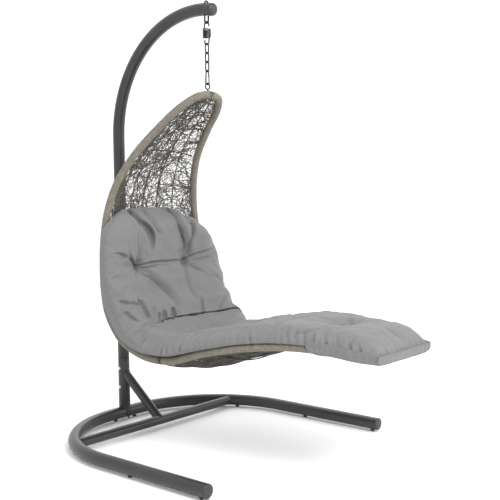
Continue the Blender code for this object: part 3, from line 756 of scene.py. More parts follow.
def build_snap(steel):
    """Pear-shaped wire snap with a sprung gate between its lower bend and its shoulder."""
    front = -Y_AXIS
    low = place(HANG_DEPTH, SNAP_BOTTOM_Z + SNAP_BOTTOM_HALF_WIDTH)
    high = place(HANG_DEPTH, SNAP_TOP_Z - SNAP_TOP_HALF_WIDTH)
    bottom = arc(low, SNAP_BOTTOM_HALF_WIDTH, math.radians(-12.0), -math.pi, 22, front, Z_AXIS)
    top = arc(high, SNAP_TOP_HALF_WIDTH, math.pi, math.radians(-4.0), 22, front, Z_AXIS)
    side = unit(top[-1] - bottom[0])
    hinge = bottom[0] + (top[-1] - bottom[0]) * GATE_SHARE
    gate_foot = bottom[0] + side * 0.0024
    path = np.vstack([gate_foot[None], bottom, top, hinge[None]])
    radii = np.full(len(path), WIRE_R)
    radii[-1] = WIRE_R * 0.96
    barrel = bar(line(hinge - X_AXIS * 0.0036, hinge + X_AXIS * 0.0036, 2), 0.0019, 16)
    hook = merged(bar(path, radii, 20), barrel)
    finer("snap_hook", "round", hook, steel)
    start, end = gate_foot + side * 0.0007, hinge - side * 0.0017
    along = np.linspace(0.0, 1.0, 25)[:, None]
    gate_path = start + (end - start) * along
    coil = WIRE_R * (0.80 + 0.07 * np.abs(np.sin(along[:, 0] * 8.0 * math.pi)))
    finer("snap_gate", "round", bar(gate_path, coil, 16), steel, 80.0)


# ---------------- seat geometry, as in the CAD source
def catmull(points, share):
    """Point on a smooth curve through points, share 0 to 1 by chord length."""
    distances = [0.0]
    for first, second in zip(points, points[1:]):
        distances.append(distances[-1] + (second - first).length)
    target = share * distances[-1]
    index = 0
    while index < len(points) - 2 and distances[index + 1] < target:
        index += 1
    span = distances[index + 1] - distances[index]
    t = (target - distances[index]) / span
    mirror = Vector((-1.0, 1.0, 1.0))
    before = points[index - 1] if index else points[1] * mirror
    after = points[index + 2] if index + 2 < len(points) else points[-2] * mirror
    start, end = points[index], points[index + 1]
    before_span = (start - before).length
    after_span = (after - end).length
    slope_start = (start - before) * span / before_span + (end - start) * before_span / span
    slope_start = slope_start / (before_span + span) * span
    slope_end = (end - start) * after_span / span + (after - end) * span / after_span
    slope_end = slope_end / (span + after_span) * span
    t2, t3 = t * t, t * t * t
    return (
        start * (2.0 * t3 - 3.0 * t2 + 1.0)
        + slope_start * (t3 - 2.0 * t2 + t)
        + end * (3.0 * t2 - 2.0 * t3)
        + slope_end * (t3 - t2)
    )


def rim_table(count=901):
    """Even samples of the half rim: shares, centres, tangents and normals to the sitter."""
    stations = [Vector((half, HANG_Y + distance, height)) for half, distance, height in RIM_STATIONS]

    def rim(share):
        return catmull(stations, min(max(share, 0.0), 1.0))

    shares = np.linspace(0.0, 1.0, count)
    centres = np.array([rim(share) for share in shares])
    tangents = np.array([rim(share + 0.004) - rim(share - 0.004) for share in shares])
    flat = np.array([rim(share + 0.035) - rim(share - 0.035) for share in shares])
    flat[:, 0] = 0.0
    flat = unit(flat)
    normals = np.stack([np.zeros(count), flat[:, 2], -flat[:, 1]], 1)
    return shares, centres, unit(tangents), normals


SHARES, CENTRES, TANGENTS, NORMALS = rim_table()
RUNS = path_runs(CENTRES)


def interpolated(places, known, values):
    return np.stack([np.interp(places, known, values[:, axis]) for axis in range(3)], -1)


def rim_at(share):
    """Centre, tangent and normal of the rim's +X side at one or more shares."""
    share = np.atleast_1d(share)
    found = [interpolated(share, SHARES, values) for values in (CENTRES, TANGENTS, NORMALS)]
    return (found[0][0], found[1][0], found[2][0]) if len(share) == 1 else found


def smooth_table(table, places):
    """Smooth values of a short table of (place, value) pairs."""
    known = np.array([row[0] for row in table])
    values = np.array([row[1] for row in table])
    index = np.clip(np.searchsorted(known, places, side="left") - 1, 0, len(known) - 2)
    t = np.clip((places - known[index]) / (known[index + 1] - known[index]), 0.0, 1.0)
    return values[index] + (values[index + 1] - values[index]) * t * t * (3.0 - 2.0 * t)


def bed_points(share, across, offset, reach=WRAP_R + 0.0035):
    """Points of the woven bed and its normals; across runs from -1 to 1 between the rim's sides."""
    share, across, offset = np.broadcast_arrays(share, across, offset)
    centre = interpolated(share, SHARES, CENTRES)
    tangent = interpolated(share, SHARES, TANGENTS)
    normal = interpolated(share, SHARES, NORMALS)
    inset = reach / np.sqrt(np.maximum(1.0 - tangent[..., 0] ** 2, 0.05))
    depth = smooth_table(SAG, share) * (1.0 - across * across)
    points = centre + normal * (offset - depth)[..., None]
    points[..., 0] = across * (centre[..., 0] - inset)
    return points, normal


# ---------------- rim
SPLIT_HALF_GAP = 0.0003     # share of the half rim left open on each side of its split
STRAND_PITCH = 0.0088
STRAND_LEVELS = (-0.0032, -0.0003, 0.0003, -0.0003)     # across one turn, above WRAP_R
COLLAR_INSET = 0.0028
COLLAR_R = 0.0028


def winding(path):
    """A strand wound tightly on the rim, turn against turn, with a collar at each end."""
    distances = path_runs(path)
    _, first, second = cross_axes(path)
    sides, levels = 26, len(STRAND_LEVELS)
    turns = int(distances[-1] / STRAND_PITCH) - 1
    count = turns * sides
    turn = np.arange(count)[:, None] / sides
    level = np.arange(levels)[None, :]
    uneven = RANDOM.normal(size=turns + 2)
    swell = np.interp(turn[:, 0], np.arange(turns + 2), uneven)[:, None]
    along = (turn + level / levels + 0.5) * STRAND_PITCH + 0.00022 * swell
    height = np.array(STRAND_LEVELS) + 0.00020 * swell
    angle = (2.0 * math.pi * turn)[..., None]
    centre, side, up = (interpolated(along, distances, values) for values in (path, first, second))
    radius = (WRAP_R + height)[..., None]
    points = centre + radius * (np.cos(angle) * side + np.sin(angle) * up)
    index = np.arange(count * levels).reshape(count, levels)
    flat = index[:-1, :-1], index[1:, :-1], index[1:, 1:], index[:-1, 1:]
    seam = index[:-sides - 1, -1], index[1:-sides, -1], index[sides + 1:, 0], index[sides:-1, 0]
    faces = [face for corners in (flat, seam) for face in np.stack(corners, -1).reshape(-1, 4).tolist()]
    collars = []
    for end, distance in ((0, COLLAR_INSET), (-1, distances[-1] - COLLAR_INSET)):
        middle = interpolated(np.array([distance]), distances, path)[0]
        ring = arc(middle, WRAP_R - 0.0026, 0.0, 2.0 * math.pi, sides, first[end], second[end])[:-1]
        collars.append(bar(ring, COLLAR_R, 10, cyclic=True))
    return merged((points.reshape(-1, 3), faces), *collars)


def build_rim(strand, coat):
    """The strand wound on the steel rim, in three lengths as the rim's two tubes come apart."""
    shares = np.linspace(0.0, 1.0, 721)
    centres = rim_at(shares)[0]
    mirror = np.array((-1.0, 1.0, 1.0))
    back = centres[shares < RIM_SPLIT - SPLIT_HALF_GAP]
    back = back[np.linalg.norm(back - back[0], axis=1) > 0.0016]
    leg = centres[shares > RIM_SPLIT + SPLIT_HALF_GAP]
    paths = {
        "rim_wrap_back_right": back,
        "rim_wrap_back_left": back * mirror,
        "rim_wrap_leg": np.vstack([leg, (leg * mirror)[-2::-1]]),
    }
    for name, path in paths.items():
        finer(name, "strand", winding(path), strand, 70.0)
    for name in ("rim_tube_back", "rim_tube_leg", "rim_spigot_left", "rim_spigot_right"):
        paint_node(name, coat)


# ---------------- woven bed
WEAVE_STRANDS = 1900
STRAND_STEPS = 22
STRAND_STEP = 0.014
STRAND_HALF_WIDTH = 0.0014
STRAND_HALF_HEIGHT = 0.0010


def folded(values, low, high):
    """Values reflected back into a range, as a strand turns back at the rim."""
    span = high - low
    wrapped = np.mod(values - low, 2.0 * span)
    return low + np.where(wrapped > span, 2.0 * span - wrapped, wrapped)


def weave_routes(count):
    """Random curving routes over the bed as shares and places across, strand by strand."""
    area = np.maximum(CENTRES[:, 0] - WRAP_R, 0.01)
    low, high = WEB_START - 0.016, WEB_END + 0.010
    chance = np.where((SHARES > low) & (SHARES < high), area, 0.0)
    chance = chance / chance.sum()
    spread_out = (np.arange(count) + RANDOM.uniform(0.0, 1.0, count)) / count
    start = np.interp(spread_out, np.cumsum(chance), SHARES)
    across = RANDOM.uniform(-1.0, 1.0, count)
    heading = RANDOM.uniform(0.0, 2.0 * math.pi, count)
    bend = RANDOM.normal(0.0, 1.6, count)
    wobble = RANDOM.uniform(0.0, 2.0 * math.pi, count)
    total = RUNS[-1]
    run, width = start * total, across.copy()
    routes = []
    for step in range(STRAND_STEPS):
        share = folded(run / total, low, high)
        routes.append((share, folded(width, -1.0, 1.0)))
        turn = heading + bend * step * STRAND_STEP * 2.2 + 0.35 * np.sin(wobble + 0.55 * step)
        run = run + STRAND_STEP * np.cos(turn)
        width = width + STRAND_STEP * np.sin(turn) / np.maximum(np.interp(share, SHARES, area), 0.03)
    return np.array(routes).transpose(1, 2, 0)


def ribbon(points, normals, half_width, half_height, sides=6):
    """Flattened strands along many paths at once: points is strand, step, xyz."""
    ahead = np.concatenate([points[:, 1:], points[:, -1:]], 1)
    back = np.concatenate([points[:, :1], points[:, :-1]], 1)
    tangents = unit(ahead - back)
    across = unit(np.cross(tangents, normals))
    up = np.cross(across, tangents)
    angles = np.linspace(0.0, 2.0 * math.pi, sides, endpoint=False) + math.pi / sides
    rings = (points[:, :, None]
             + half_width * np.cos(angles)[:, None] * across[:, :, None]
             + half_height * np.sin(angles)[:, None] * up[:, :, None])
    strands, steps = points.shape[:2]
    block = np.array(grid_faces(steps, sides))
    offsets = (np.arange(strands) * steps * sides)[:, None, None]
    faces = (block[None] + offsets).reshape(-1, 4).tolist()
    first_ring = np.arange(sides)[::-1]
    last_ring = (steps - 1) * sides + np.arange(sides)
    for cap in (first_ring, last_ring):
        faces += (offsets[:, 0] + cap[None]).tolist()
    return rings.reshape(-1, 3), faces


def build_bed(strand, coat):
    """Loose random weave, with steel ribs and hoops behind it."""
    shares, places = weave_routes(WEAVE_STRANDS)
    layer = RANDOM.uniform(-0.0035, 0.0030, WEAVE_STRANDS)[:, None]
    phase = RANDOM.uniform(0, 6.3, WEAVE_STRANDS)[:, None]
    ripple = 0.0030 * np.sin(np.arange(STRAND_STEPS)[None] * 0.8 + phase)
    points, normals = bed_points(shares, places, layer + ripple, reach=WRAP_R - 0.002)
    weave = ribbon(points, normals, STRAND_HALF_WIDTH, STRAND_HALF_HEIGHT)
    finer("woven_bed", "strands", weave, strand, 80.0)

    rib_offset = -(WEB_WALL / 2.0 + RIB_R + 0.0012)
    along = np.linspace(WEB_START, WEB_END, 140)
    for number, across in enumerate(RIB_PLACES, 1):
        path = bed_points(along, across, rib_offset)[0]
        finer(f"bed_rib_{number}", "round", bar(path, RIB_R, 12), coat, 80.0)
    hoop_offset = rib_offset - 2.0 * RIB_R - 0.0016
    for number, share in enumerate(HOOP_SHARES, 1):
        path = bed_points(share, np.linspace(-1.0, 1.0, 49), hoop_offset)[0]
        finer(f"bed_hoop_{number}", "round", bar(path, RIB_R, 12), coat, 80.0)


# ---------------- cushion
RUN_START = float(np.interp(CUSHION_START, SHARES, RUNS))
FOOT_SHARE = 0.90           # from here the cushion runs straight on, past the rim's rounded end
RUN_FOOT = float(np.interp(FOOT_SHARE, SHARES, RUNS)) - RUN_START
FOOT_REACH = 0.158
RUN_TOP = 0.030             # the cushion's top edge, measured along it from the CAD solid's
RUN_END = RUN_FOOT + FOOT_REACH
CUSHION_CLEAR = 0.0205      # underside above the rim's centre line
THICKNESS = (               # distance along the cushion, full thickness
    (0.00, 0.080), (0.14, 0.092), (0.95, 0.092), (1.25, 0.084), (1.50, 0.074), (1.80, 0.068),
    (1.96, 0.062),
)
BRIDGE = (                  # distance along the cushion, gap where it spans the bend between back and seat
    (0.32, 0.000), (0.42, 0.014), (0.55, 0.031), (0.66, 0.014), (0.76, 0.000),
)
NEAR_OVERHANG = (           # distance along the cushion, how far its -X side reaches past the rim's line
    (0.00, 0.040), (0.18, 0.053), (0.34, 0.050), (0.55, 0.036), (0.68, 0.037), (0.86, 0.046), (1.02, 0.046),
    (1.42, 0.027), (1.80, 0.024), (1.96, 0.008),
)
FAR_OVERHANG = (            # the same for its +X side
    (0.00, 0.034), (0.20, 0.048), (0.60, 0.052), (0.71, 0.064), (0.84, 0.046), (1.02, 0.036), (1.42, 0.019),
    (1.66, 0.022), (1.81, 0.024), (1.962, -0.038),
)
NEAR_CORNER = (0.17, 2.9)   # length and roundness of the cushion's top corners
FAR_CORNER = (0.30, 2.2)
SEAM_HEIGHT = (             # distance along the cushion, height of its side seam as a share of its thickness
    (0.00, 0.42), (0.90, 0.40), (1.40, 0.36), (1.75, 0.16), (1.96, 0.10),
)
CROWN = (                   # distance along the cushion, 0 for a boxed edge and 1 for a pillow's
    (0.00, 0.60), (0.15, 0.45), (0.30, 0.50), (0.42, 0.12), (0.66, 0.14), (0.80, 0.48), (1.00, 0.60),
    (1.35, 0.80), (1.60, 1.00), (1.96, 1.00),
)
DRAPE = (                   # distance along the cushion, how far its lower edge hangs past the rim's top
    (0.20, 0.004), (0.45, 0.014), (0.65, 0.014), (0.90, 0.004), (1.20, 0.012), (1.60, 0.012), (1.96, 0.004),
)
SEAM_GROOVE = ((1.35, 0.0030), (1.60, 0.0004))      # distance along, depth of the side seam's groove
PRESSED_RUN = 0.860         # where the far edge is pressed in, how far along that reaches and how deep
PRESSED_LENGTH = 0.070
PRESSED_DEPTH = 0.036
COLUMNS = 212
ROW_STEP = 0.0080
SECTION_SAMPLES = 241
FOOT_DIRECTION = np.array((0.0, -0.9975, -0.0700))


def cushion_rows():
    """Distances along the cushion of its rows, closer together at both ends."""
    start = [0.0, 0.0015, 0.005, 0.011, 0.019, 0.028]
    middle = np.arange(RUN_TOP + 0.036, RUN_END - 0.030, ROW_STEP)
    end = [0.022, 0.015, 0.009, 0.004, 0.0]
    return np.concatenate([RUN_TOP + np.array(start), middle, RUN_END - np.array(end)])


def cushion_axis(run):
    """Centre, normal, share, half widths on the -X and +X sides, and the rim's half width."""
    share = np.minimum(np.interp(run + RUN_START, RUNS, SHARES), FOOT_SHARE)
    centre, _, normal = rim_at(share)
    rim_half = centre[:, 0].copy()
    centre = centre + np.maximum(run - RUN_FOOT, 0.0)[:, None] * FOOT_DIRECTION
    halves = []
    for overhang, (length, power) in ((NEAR_OVERHANG, NEAR_CORNER), (FAR_OVERHANG, FAR_CORNER)):
        top = np.clip((run - RUN_TOP + 0.016) / length, 0.0, 1.0)
        half = rim_half + smooth_table(overhang, run)
        halves.append(half * (1.0 - (1.0 - top) ** power) ** (1.0 / power))
    return centre, normal, share, halves[0], halves[1], rim_half


def cushion_thickness(run):
    thickness = smooth_table(THICKNESS, run)
    top = np.clip((run - RUN_TOP) / 0.070, 0.0, 1.0)
    foot = np.clip((RUN_END - run) / 0.110, 0.0, 1.0)
    top = np.sqrt(np.maximum(1.0 - (1.0 - top) ** 2, 0.0))
    foot = np.sqrt(np.maximum(1.0 - (1.0 - foot) ** 2.2, 0.0))
    return np.maximum(thickness * (top * foot), 0.006)


def cushion_section(run, angle):
    """Across, lift and upper share of the smooth cushion's skin at angles round each of its rows."""
    _, _, share, near, far, rim_half = cushion_axis(run)
    run = run[:, None]
    rim_half = rim_half[:, None]
    thickness = cushion_thickness(run)
    seam, crown = smooth_table(SEAM_HEIGHT, run), smooth_table(CROWN, run)
    cos, sin = np.cos(angle)[None], np.sin(angle)[None]
    half = np.where(cos > 0.0, far[:, None], near[:, None])
    across_power = np.where(sin < 0.0, 0.30, 0.30 + 0.62 * crown)
    across = np.sign(cos) * np.abs(cos) ** across_power * half
    rise = np.where(sin > 0.0, seam + (1.0 - seam) * np.abs(sin) ** (0.30 + 0.60 * crown),
                    seam * (1.0 - np.abs(sin) ** 0.35))
    bed = smooth_table(SAG, share)[:, None] * np.maximum(0.0, 1.0 - (across / (rim_half - 0.016)) ** 2)
    bed = bed * (1.0 - 0.25 * crown)
    outside = np.clip((np.abs(across) - rim_half + 0.004) / 0.022, 0.0, 1.0)
    hang = smooth_table(DRAPE, run) * outside ** 1.3 * np.clip(-sin * 3.0 + 0.6, 0.0, 1.0)
    pressed = PRESSED_DEPTH * np.exp(-((run - PRESSED_RUN) / PRESSED_LENGTH) ** 2)
    pressed = pressed * np.clip(across / half, 0.0, 1.0) ** 4 * (sin > 0.0)
    thickness = thickness + smooth_table(BRIDGE, run)
    lift = CUSHION_CLEAR - bed - hang - pressed * np.abs(sin) ** 0.5 + rise * thickness
    return across, lift, np.broadcast_to(sin, across.shape)


def cushion_grid():
    """Vertices of the smooth cushion, evenly spaced round each row, and their places on it."""
    run = cushion_rows()
    centre, normal = cushion_axis(run)[:2]
    even = np.linspace(0.0, 1.0, COLUMNS // 2 + 1)[:-1]
    halves = []
    for low in (0.0, math.pi):
        section = cushion_section(run, np.linspace(low, low + math.pi, SECTION_SAMPLES))
        steps = np.hypot(np.diff(section[0], axis=1), np.diff(section[1], axis=1))
        along = np.concatenate([np.zeros((len(run), 1)), np.cumsum(steps, axis=1)], 1)
        rows = []
        for row in range(len(run)):
            wanted = even * along[row, -1]
            rows.append([np.interp(wanted, along[row], values[row]) for values in section])
        halves.append(np.array(rows))
    across, lift, upper = np.concatenate(halves, 2).transpose(1, 0, 2)
    points = centre[:, None] + normal[:, None] * lift[..., None]
    points[..., 0] = across
    places = {"across": across, "run": np.broadcast_to(run[:, None], across.shape), "upper": upper}
    return points, places


def cushion_faces(rows):
    """Grid faces, and the two ends closed by joining the upper side to the lower side."""
    faces = grid_faces(rows, COLUMNS)
    half = COLUMNS // 2
    for row, flip in ((0, True), (rows - 1, False)):
        start = row * COLUMNS
        for column in range(half):
            upper, lower = (column, column + 1), (COLUMNS - column - 1, (COLUMNS - column) % COLUMNS)
            cell = list(dict.fromkeys(start + index for index in (*upper, *lower)))
            if len(cell) > 2:
                faces.append(tuple(cell[::-1] if flip else cell))
    return faces


TUFTS = (                   # across, distance along, depth, radius
    (-0.155, 0.317, 0.028, 0.038),
    (0.155, 0.305, 0.028, 0.038),
    (0.000, 1.655, 0.022, 0.060),
)
FOLDS = (                   # depth, half width, lean to one side, then points as (across, distance along)
    (0.026, 0.015, 0.7, (-0.152, 0.02), (-0.118, 0.08), (-0.075, 0.125), (-0.052, 0.17),
     (-0.055, 0.215), (-0.075, 0.25)),
    (0.014, 0.009, -0.5, (-0.045, 0.02), (-0.043, 0.075), (-0.030, 0.125), (0.010, 0.175)),
    (0.026, 0.014, -0.7, (0.100, 0.02), (0.104, 0.09), (0.126, 0.165), (0.142, 0.225), (0.155, 0.300)),
    (0.018, 0.010, -0.6, (0.198, 0.11), (0.188, 0.175), (0.170, 0.235), (0.155, 0.300)),
    (0.016, 0.006, 0.0, (-0.155, 0.317), (-0.09, 0.297), (0.02, 0.295), (0.155, 0.301)),
    (0.008, 0.004, 0.0, (-0.140, 0.319), (-0.05, 0.313), (0.060, 0.309)),
    (0.014, 0.008, 0.4, (-0.155, 0.317), (-0.205, 0.280), (-0.255, 0.262), (-0.325, 0.258)),
    (0.010, 0.006, 0.0, (-0.255, 0.255), (-0.30, 0.240), (-0.345, 0.236)),
    (0.014, 0.008, 0.0, (-0.155, 0.317), (-0.21, 0.262), (-0.245, 0.225)),
    (0.014, 0.009, 0.4, (-0.155, 0.317), (-0.145, 0.245), (-0.130, 0.195)),
    (0.018, 0.015, -0.7, (-0.155, 0.317), (-0.12, 0.36), (-0.06, 0.405), (-0.005, 0.465),
     (0.028, 0.535), (0.035, 0.60)),
    (0.009, 0.007, 0.0, (-0.155, 0.317), (-0.11, 0.333), (-0.07, 0.36)),
    (0.013, 0.007, 0.3, (0.155, 0.305), (0.20, 0.278), (0.25, 0.268), (0.32, 0.252)),
    (0.013, 0.009, -0.4, (0.155, 0.305), (0.19, 0.345), (0.24, 0.387)),
    (0.010, 0.014, 0.3, (0.155, 0.305), (0.140, 0.36), (0.135, 0.42), (0.145, 0.50), (0.150, 0.59)),
    (0.016, 0.010, 0.5, (-0.345, 0.48), (-0.315, 0.51), (-0.26, 0.535), (-0.200, 0.55)),
    (0.018, 0.014, 0.6, (-0.216, 0.508), (-0.209, 0.579), (-0.201, 0.650)),
    (0.016, 0.010, 0.5, (-0.345, 0.587), (-0.328, 0.64), (-0.290, 0.69)),
    (0.026, 0.006, 0.0, (0.37, 0.748), (0.25, 0.692), (0.145, 0.652), (0.03, 0.636), (-0.04, 0.636),
     (-0.12, 0.650), (-0.215, 0.682)),
    (0.012, 0.010, 0.0, (-0.200, 0.662), (-0.25, 0.690), (-0.31, 0.735)),
    (0.014, 0.012, 0.5, (-0.200, 0.665), (-0.15, 0.58), (-0.165, 0.52)),
    (0.014, 0.009, -0.4, (0.147, 0.650), (0.165, 0.575), (0.172, 0.52)),
    (0.009, 0.012, 0.0, (0.007, 0.615), (0.016, 0.53)),
    (0.020, 0.010, 0.4, (-0.145, 0.655), (-0.125, 0.620), (-0.115, 0.590)),
    (0.018, 0.009, -0.3, (-0.100, 0.645), (-0.082, 0.608), (-0.072, 0.575)),
    (0.024, 0.011, -0.5, (-0.035, 0.637), (-0.015, 0.604), (-0.004, 0.565)),
    (0.008, 0.006, 0.0, (0.237, 0.655), (0.292, 0.606), (0.335, 0.57)),
    (0.010, 0.032, 0.0, (0.040, 0.72), (0.08, 0.76), (0.16, 0.79)),
    (0.016, 0.010, 0.3, (-0.045, 1.585), (-0.035, 1.65), (0.0, 1.69), (0.055, 1.715)),
    (0.008, 0.010, 0.0, (0.02, 1.68), (0.07, 1.64), (0.10, 1.62)),
    (0.007, 0.009, 0.0, (-0.045, 1.585), (-0.10, 1.53)),
    (0.012, 0.010, 0.0, (-0.20, 1.47), (-0.09, 1.45), (0.03, 1.45), (0.10, 1.47)),
    (0.008, 0.010, 0.0, (-0.240, 1.60), (-0.215, 1.64), (-0.17, 1.68)),
)
PUCKER_DEPTH = (            # distance along the cushion, depth of the small gathers at its side seam
    (0.00, 0.0016), (0.50, 0.0018), (0.80, 0.0032), (1.15, 0.0026), (1.40, 0.0022), (1.60, 0.0040),
    (2.00, 0.0044),
)
PUCKERS = (                 # side, distance along, height round the edge, length, depth, slant
    (-1, 0.735, 0.30, 0.30, 0.007, 0.030), (-1, 0.815, 0.25, 0.30, 0.011, 0.040),
    (-1, 0.915, 0.18, 0.22, 0.009, 0.040), (-1, 0.962, 0.05, 0.30, 0.012, 0.035),
    (-1, 0.990, 0.00, 0.26, 0.009, -0.020), (-1, 1.068, -0.05, 0.30, 0.011, 0.030),
    (-1, 1.195, 0.10, 0.40, 0.006, 0.030), (-1, 1.290, 0.20, 0.30, 0.006, 0.035),
    (-1, 1.345, 0.30, 0.30, 0.006, 0.030), (-1, 1.405, -0.05, 0.30, 0.009, -0.020),
    (-1, 1.480, 0.15, 0.30, 0.005, 0.030), (-1, 1.565, 0.20, 0.35, 0.008, -0.025),
    (-1, 1.600, 0.25, 0.30, 0.009, -0.030), (-1, 1.640, 0.20, 0.35, 0.008, -0.030),
    (-1, 1.680, 0.22, 0.35, 0.007, -0.035), (-1, 1.735, 0.12, 0.30, 0.007, -0.040),
    (-1, 1.785, 0.15, 0.35, 0.006, -0.040), (-1, 1.840, 0.10, 0.30, 0.008, -0.040),
    (-1, 1.880, 0.12, 0.30, 0.006, -0.040), (1, 0.36, 0.20, 0.30, 0.006, 0.020),
    (1, 0.47, 0.20, 0.30, 0.005, 0.020), (1, 0.78, 0.20, 0.30, 0.009, 0.030),
    (1, 0.93, 0.20, 0.30, 0.009, 0.030), (1, 1.12, 0.10, 0.30, 0.008, 0.030),
    (1, 1.38, 0.10, 0.30, 0.007, 0.030), (1, 1.62, 0.20, 0.35, 0.007, -0.030),
    (1, 1.76, 0.15, 0.35, 0.007, -0.030),
)


SHRUNK = 0.006              # how much smaller the cushion starts, before it is inflated
SHRUNK_MOST = 0.036         # the same where tufts and folds meet, at most
DEEP_FOLD = 0.017           # folds deeper than this are there before it is inflated
FOLD_MOST = 0.030           # most that folds and tufts draw in together once it is inflated
HELD_TUFT_R = 0.013
PUFF = 0.022                # most that it swells above its side seam
PUFF_UNDER = 0.004          # and below it
CLOTH_FRAMES = 20
PLACES = ("across", "run", "upper")


def smooth_line(points, steps=8):
    """A finer line through a fold's points, with soft bends."""
    points = np.array(points, float)
    if len(points) < 3:
        return np.linspace(points[0], points[-1], steps + 1)
    padded = np.vstack([2 * points[0] - points[1], points, 2 * points[-1] - points[-2]])
    made = []
    for before, start, end, after in zip(padded, padded[1:], padded[2:], padded[3:]):
        for step in range(steps):
            t = step / steps
            square = 2 * before - 5 * start + 4 * end - after
            cube = 3 * start - before - 3 * end + after
            made.append(0.5 * (2 * start + (end - before) * t + square * t * t + cube * t ** 3))
    made.append(points[-1])
    return np.array(made)


def fold_depth(across, run, fold):
    """How far a fold draws each point in: a valley, steeper on one side, with a soft ridge on both."""
    depth, width, lean, *points = fold
    path = smooth_line(points)
    low, high = path.min(0) - 5.0 * width, path.max(0) + 5.0 * width
    near = (across > low[0]) & (across < high[0]) & (run > low[1]) & (run < high[1])
    drawn = np.zeros_like(across)
    if not near.any():
        return drawn
    spots = np.stack([across[near], run[near]], -1)
    best = np.full(len(spots), 1e9)
    where, side = np.zeros(len(spots)), np.ones(len(spots))
    begun = path_runs(path)
    lengths = np.diff(begun)
    for index, (start, end) in enumerate(zip(path, path[1:])):
        span = end - start
        offset = spots - start
        t = np.clip((offset @ span) / max(span @ span, 1e-12), 0.0, 1.0)
        distance = np.linalg.norm(offset - t[:, None] * span, axis=1)
        closer = distance < best
        best = np.where(closer, distance, best)
        where = np.where(closer, (begun[index] + t * lengths[index]) / begun[-1], where)
        side = np.where(closer, np.sign(span[1] * offset[:, 0] - span[0] * offset[:, 1]), side)
    fade = np.clip(1.35 * (1.0 - where ** 3), 0.0, 1.0)
    beside = best / (width * (1.0 - 0.75 * lean * side))
    valley = np.exp(-np.abs(beside) ** 1.3) - 0.22 * np.exp(-((beside - 2.1) / 0.9) ** 2)
    drawn[near] = depth * fade * valley
    return drawn


def limited(depth, most):
    """Depths that level off below the most there may be."""
    return most * np.tanh(depth / most)


def front_gathers(across):
    """Small gathers along the front seam, 0 to 1."""
    return (0.5 + 0.5 * np.sin(2.0 * math.pi * across * 37.0 + 2.1 * np.sin(across * 31.0))) ** 3


def pucker_relief(side, run, upper):
    """Depth of the separate puckers along the side seam."""
    relief = np.zeros_like(run)
    for facing, along, height, length, depth, slant in PUCKERS:
        bend = along + slant * ((upper - height) + 1.2 * (upper - height) ** 2)
        valley = np.exp(-np.abs((run - bend) / 0.0065) ** 1.5)
        valley = valley - 0.25 * np.exp(-((np.abs(run - bend) - 0.015) / 0.007) ** 2)
        relief += depth * (side == facing) * valley * np.exp(-((upper - height) / length) ** 2)
    return relief


def fold_relief(places):
    """Displacement along the normal from all folds, tufts, seams and gathers, negative inwards."""
    across, run, upper = places["across"], places["run"], places["upper"]
    top = np.clip(upper * 4.0 + 0.4, 0.0, 1.0)
    drawn = np.zeros_like(across)
    for fold in FOLDS:
        drawn += fold_depth(across, run, fold)
    for x, along, depth, radius in TUFTS:
        distance = np.hypot(across - x, run - along)
        drawn += depth * 0.45 * np.exp(-distance / (radius * 0.32))
    relief = -limited(drawn, FOLD_MOST) * top
    side = np.where(across > 0, 1.0, -1.0)
    relief -= pucker_relief(side, run, upper)
    relief -= smooth_table(SEAM_GROOVE, run) * np.exp(-(upper / 0.040) ** 2)
    pucker = np.exp(-np.abs(upper) / 0.28)
    phase = 2.3 * np.sin(run * 9.0 + side) + 1.7 * np.sin(run * 23.0 + 2.0 * side) + 1.6 * upper
    gather = (0.5 + 0.5 * np.sin(2.0 * math.pi * run * 31.0 + phase)) ** 4
    relief -= smooth_table(PUCKER_DEPTH, run) * pucker * gather
    relief -= 0.0050 * np.exp(-(RUN_END - run) / 0.016) * front_gathers(across)
    return relief + drift_relief(across, run, upper)


def drift_relief(across, run, upper):
    """Faint random slackness of the cloth."""
    waves = np.random.default_rng(19)
    relief = np.zeros_like(across)
    for _ in range(26):
        length = waves.uniform(0.05, 0.17)
        heading = waves.uniform(0.0, math.pi)
        shift = waves.uniform(0.0, 2.0 * math.pi)
        reach = across * math.cos(heading) + run * math.sin(heading)
        relief += 0.00035 * np.sin(2.0 * math.pi * reach / length + shift)
    return relief * np.clip(0.5 + upper, 0.2, 1.0)


def read(items, name, width=3):
    """One property of a mesh's vertices or of an attribute's values, as an array."""
    found = np.zeros(len(items) * width, np.float32)
    items.foreach_get(name, found)
    return found.reshape(-1, width).astype(float)


def move_points(mesh, offsets):
    points = read(mesh.vertices, "co") + offsets
    mesh.vertices.foreach_set("co", points.astype(np.float32).ravel())
    mesh.update()


def evaluated_mesh(obj):
    """A copy of the object's mesh with its modifiers applied, which are then removed."""
    evaluated = obj.evaluated_get(bpy.context.evaluated_depsgraph_get())
    mesh = bpy.data.meshes.new_from_object(evaluated)
    obj.modifiers.clear()
    return mesh


CLOTH = {
    "quality": 6,
    "mass": 0.25,
    "tension_stiffness": 12.0,
    "compression_stiffness": 6.0,
    "shear_stiffness": 4.0,
    "bending_stiffness": 0.35,
    "vertex_group_mass": "held",
    "shrink_min": -0.035,
    "use_pressure": True,
    "uniform_pressure_force": 5.0,
}


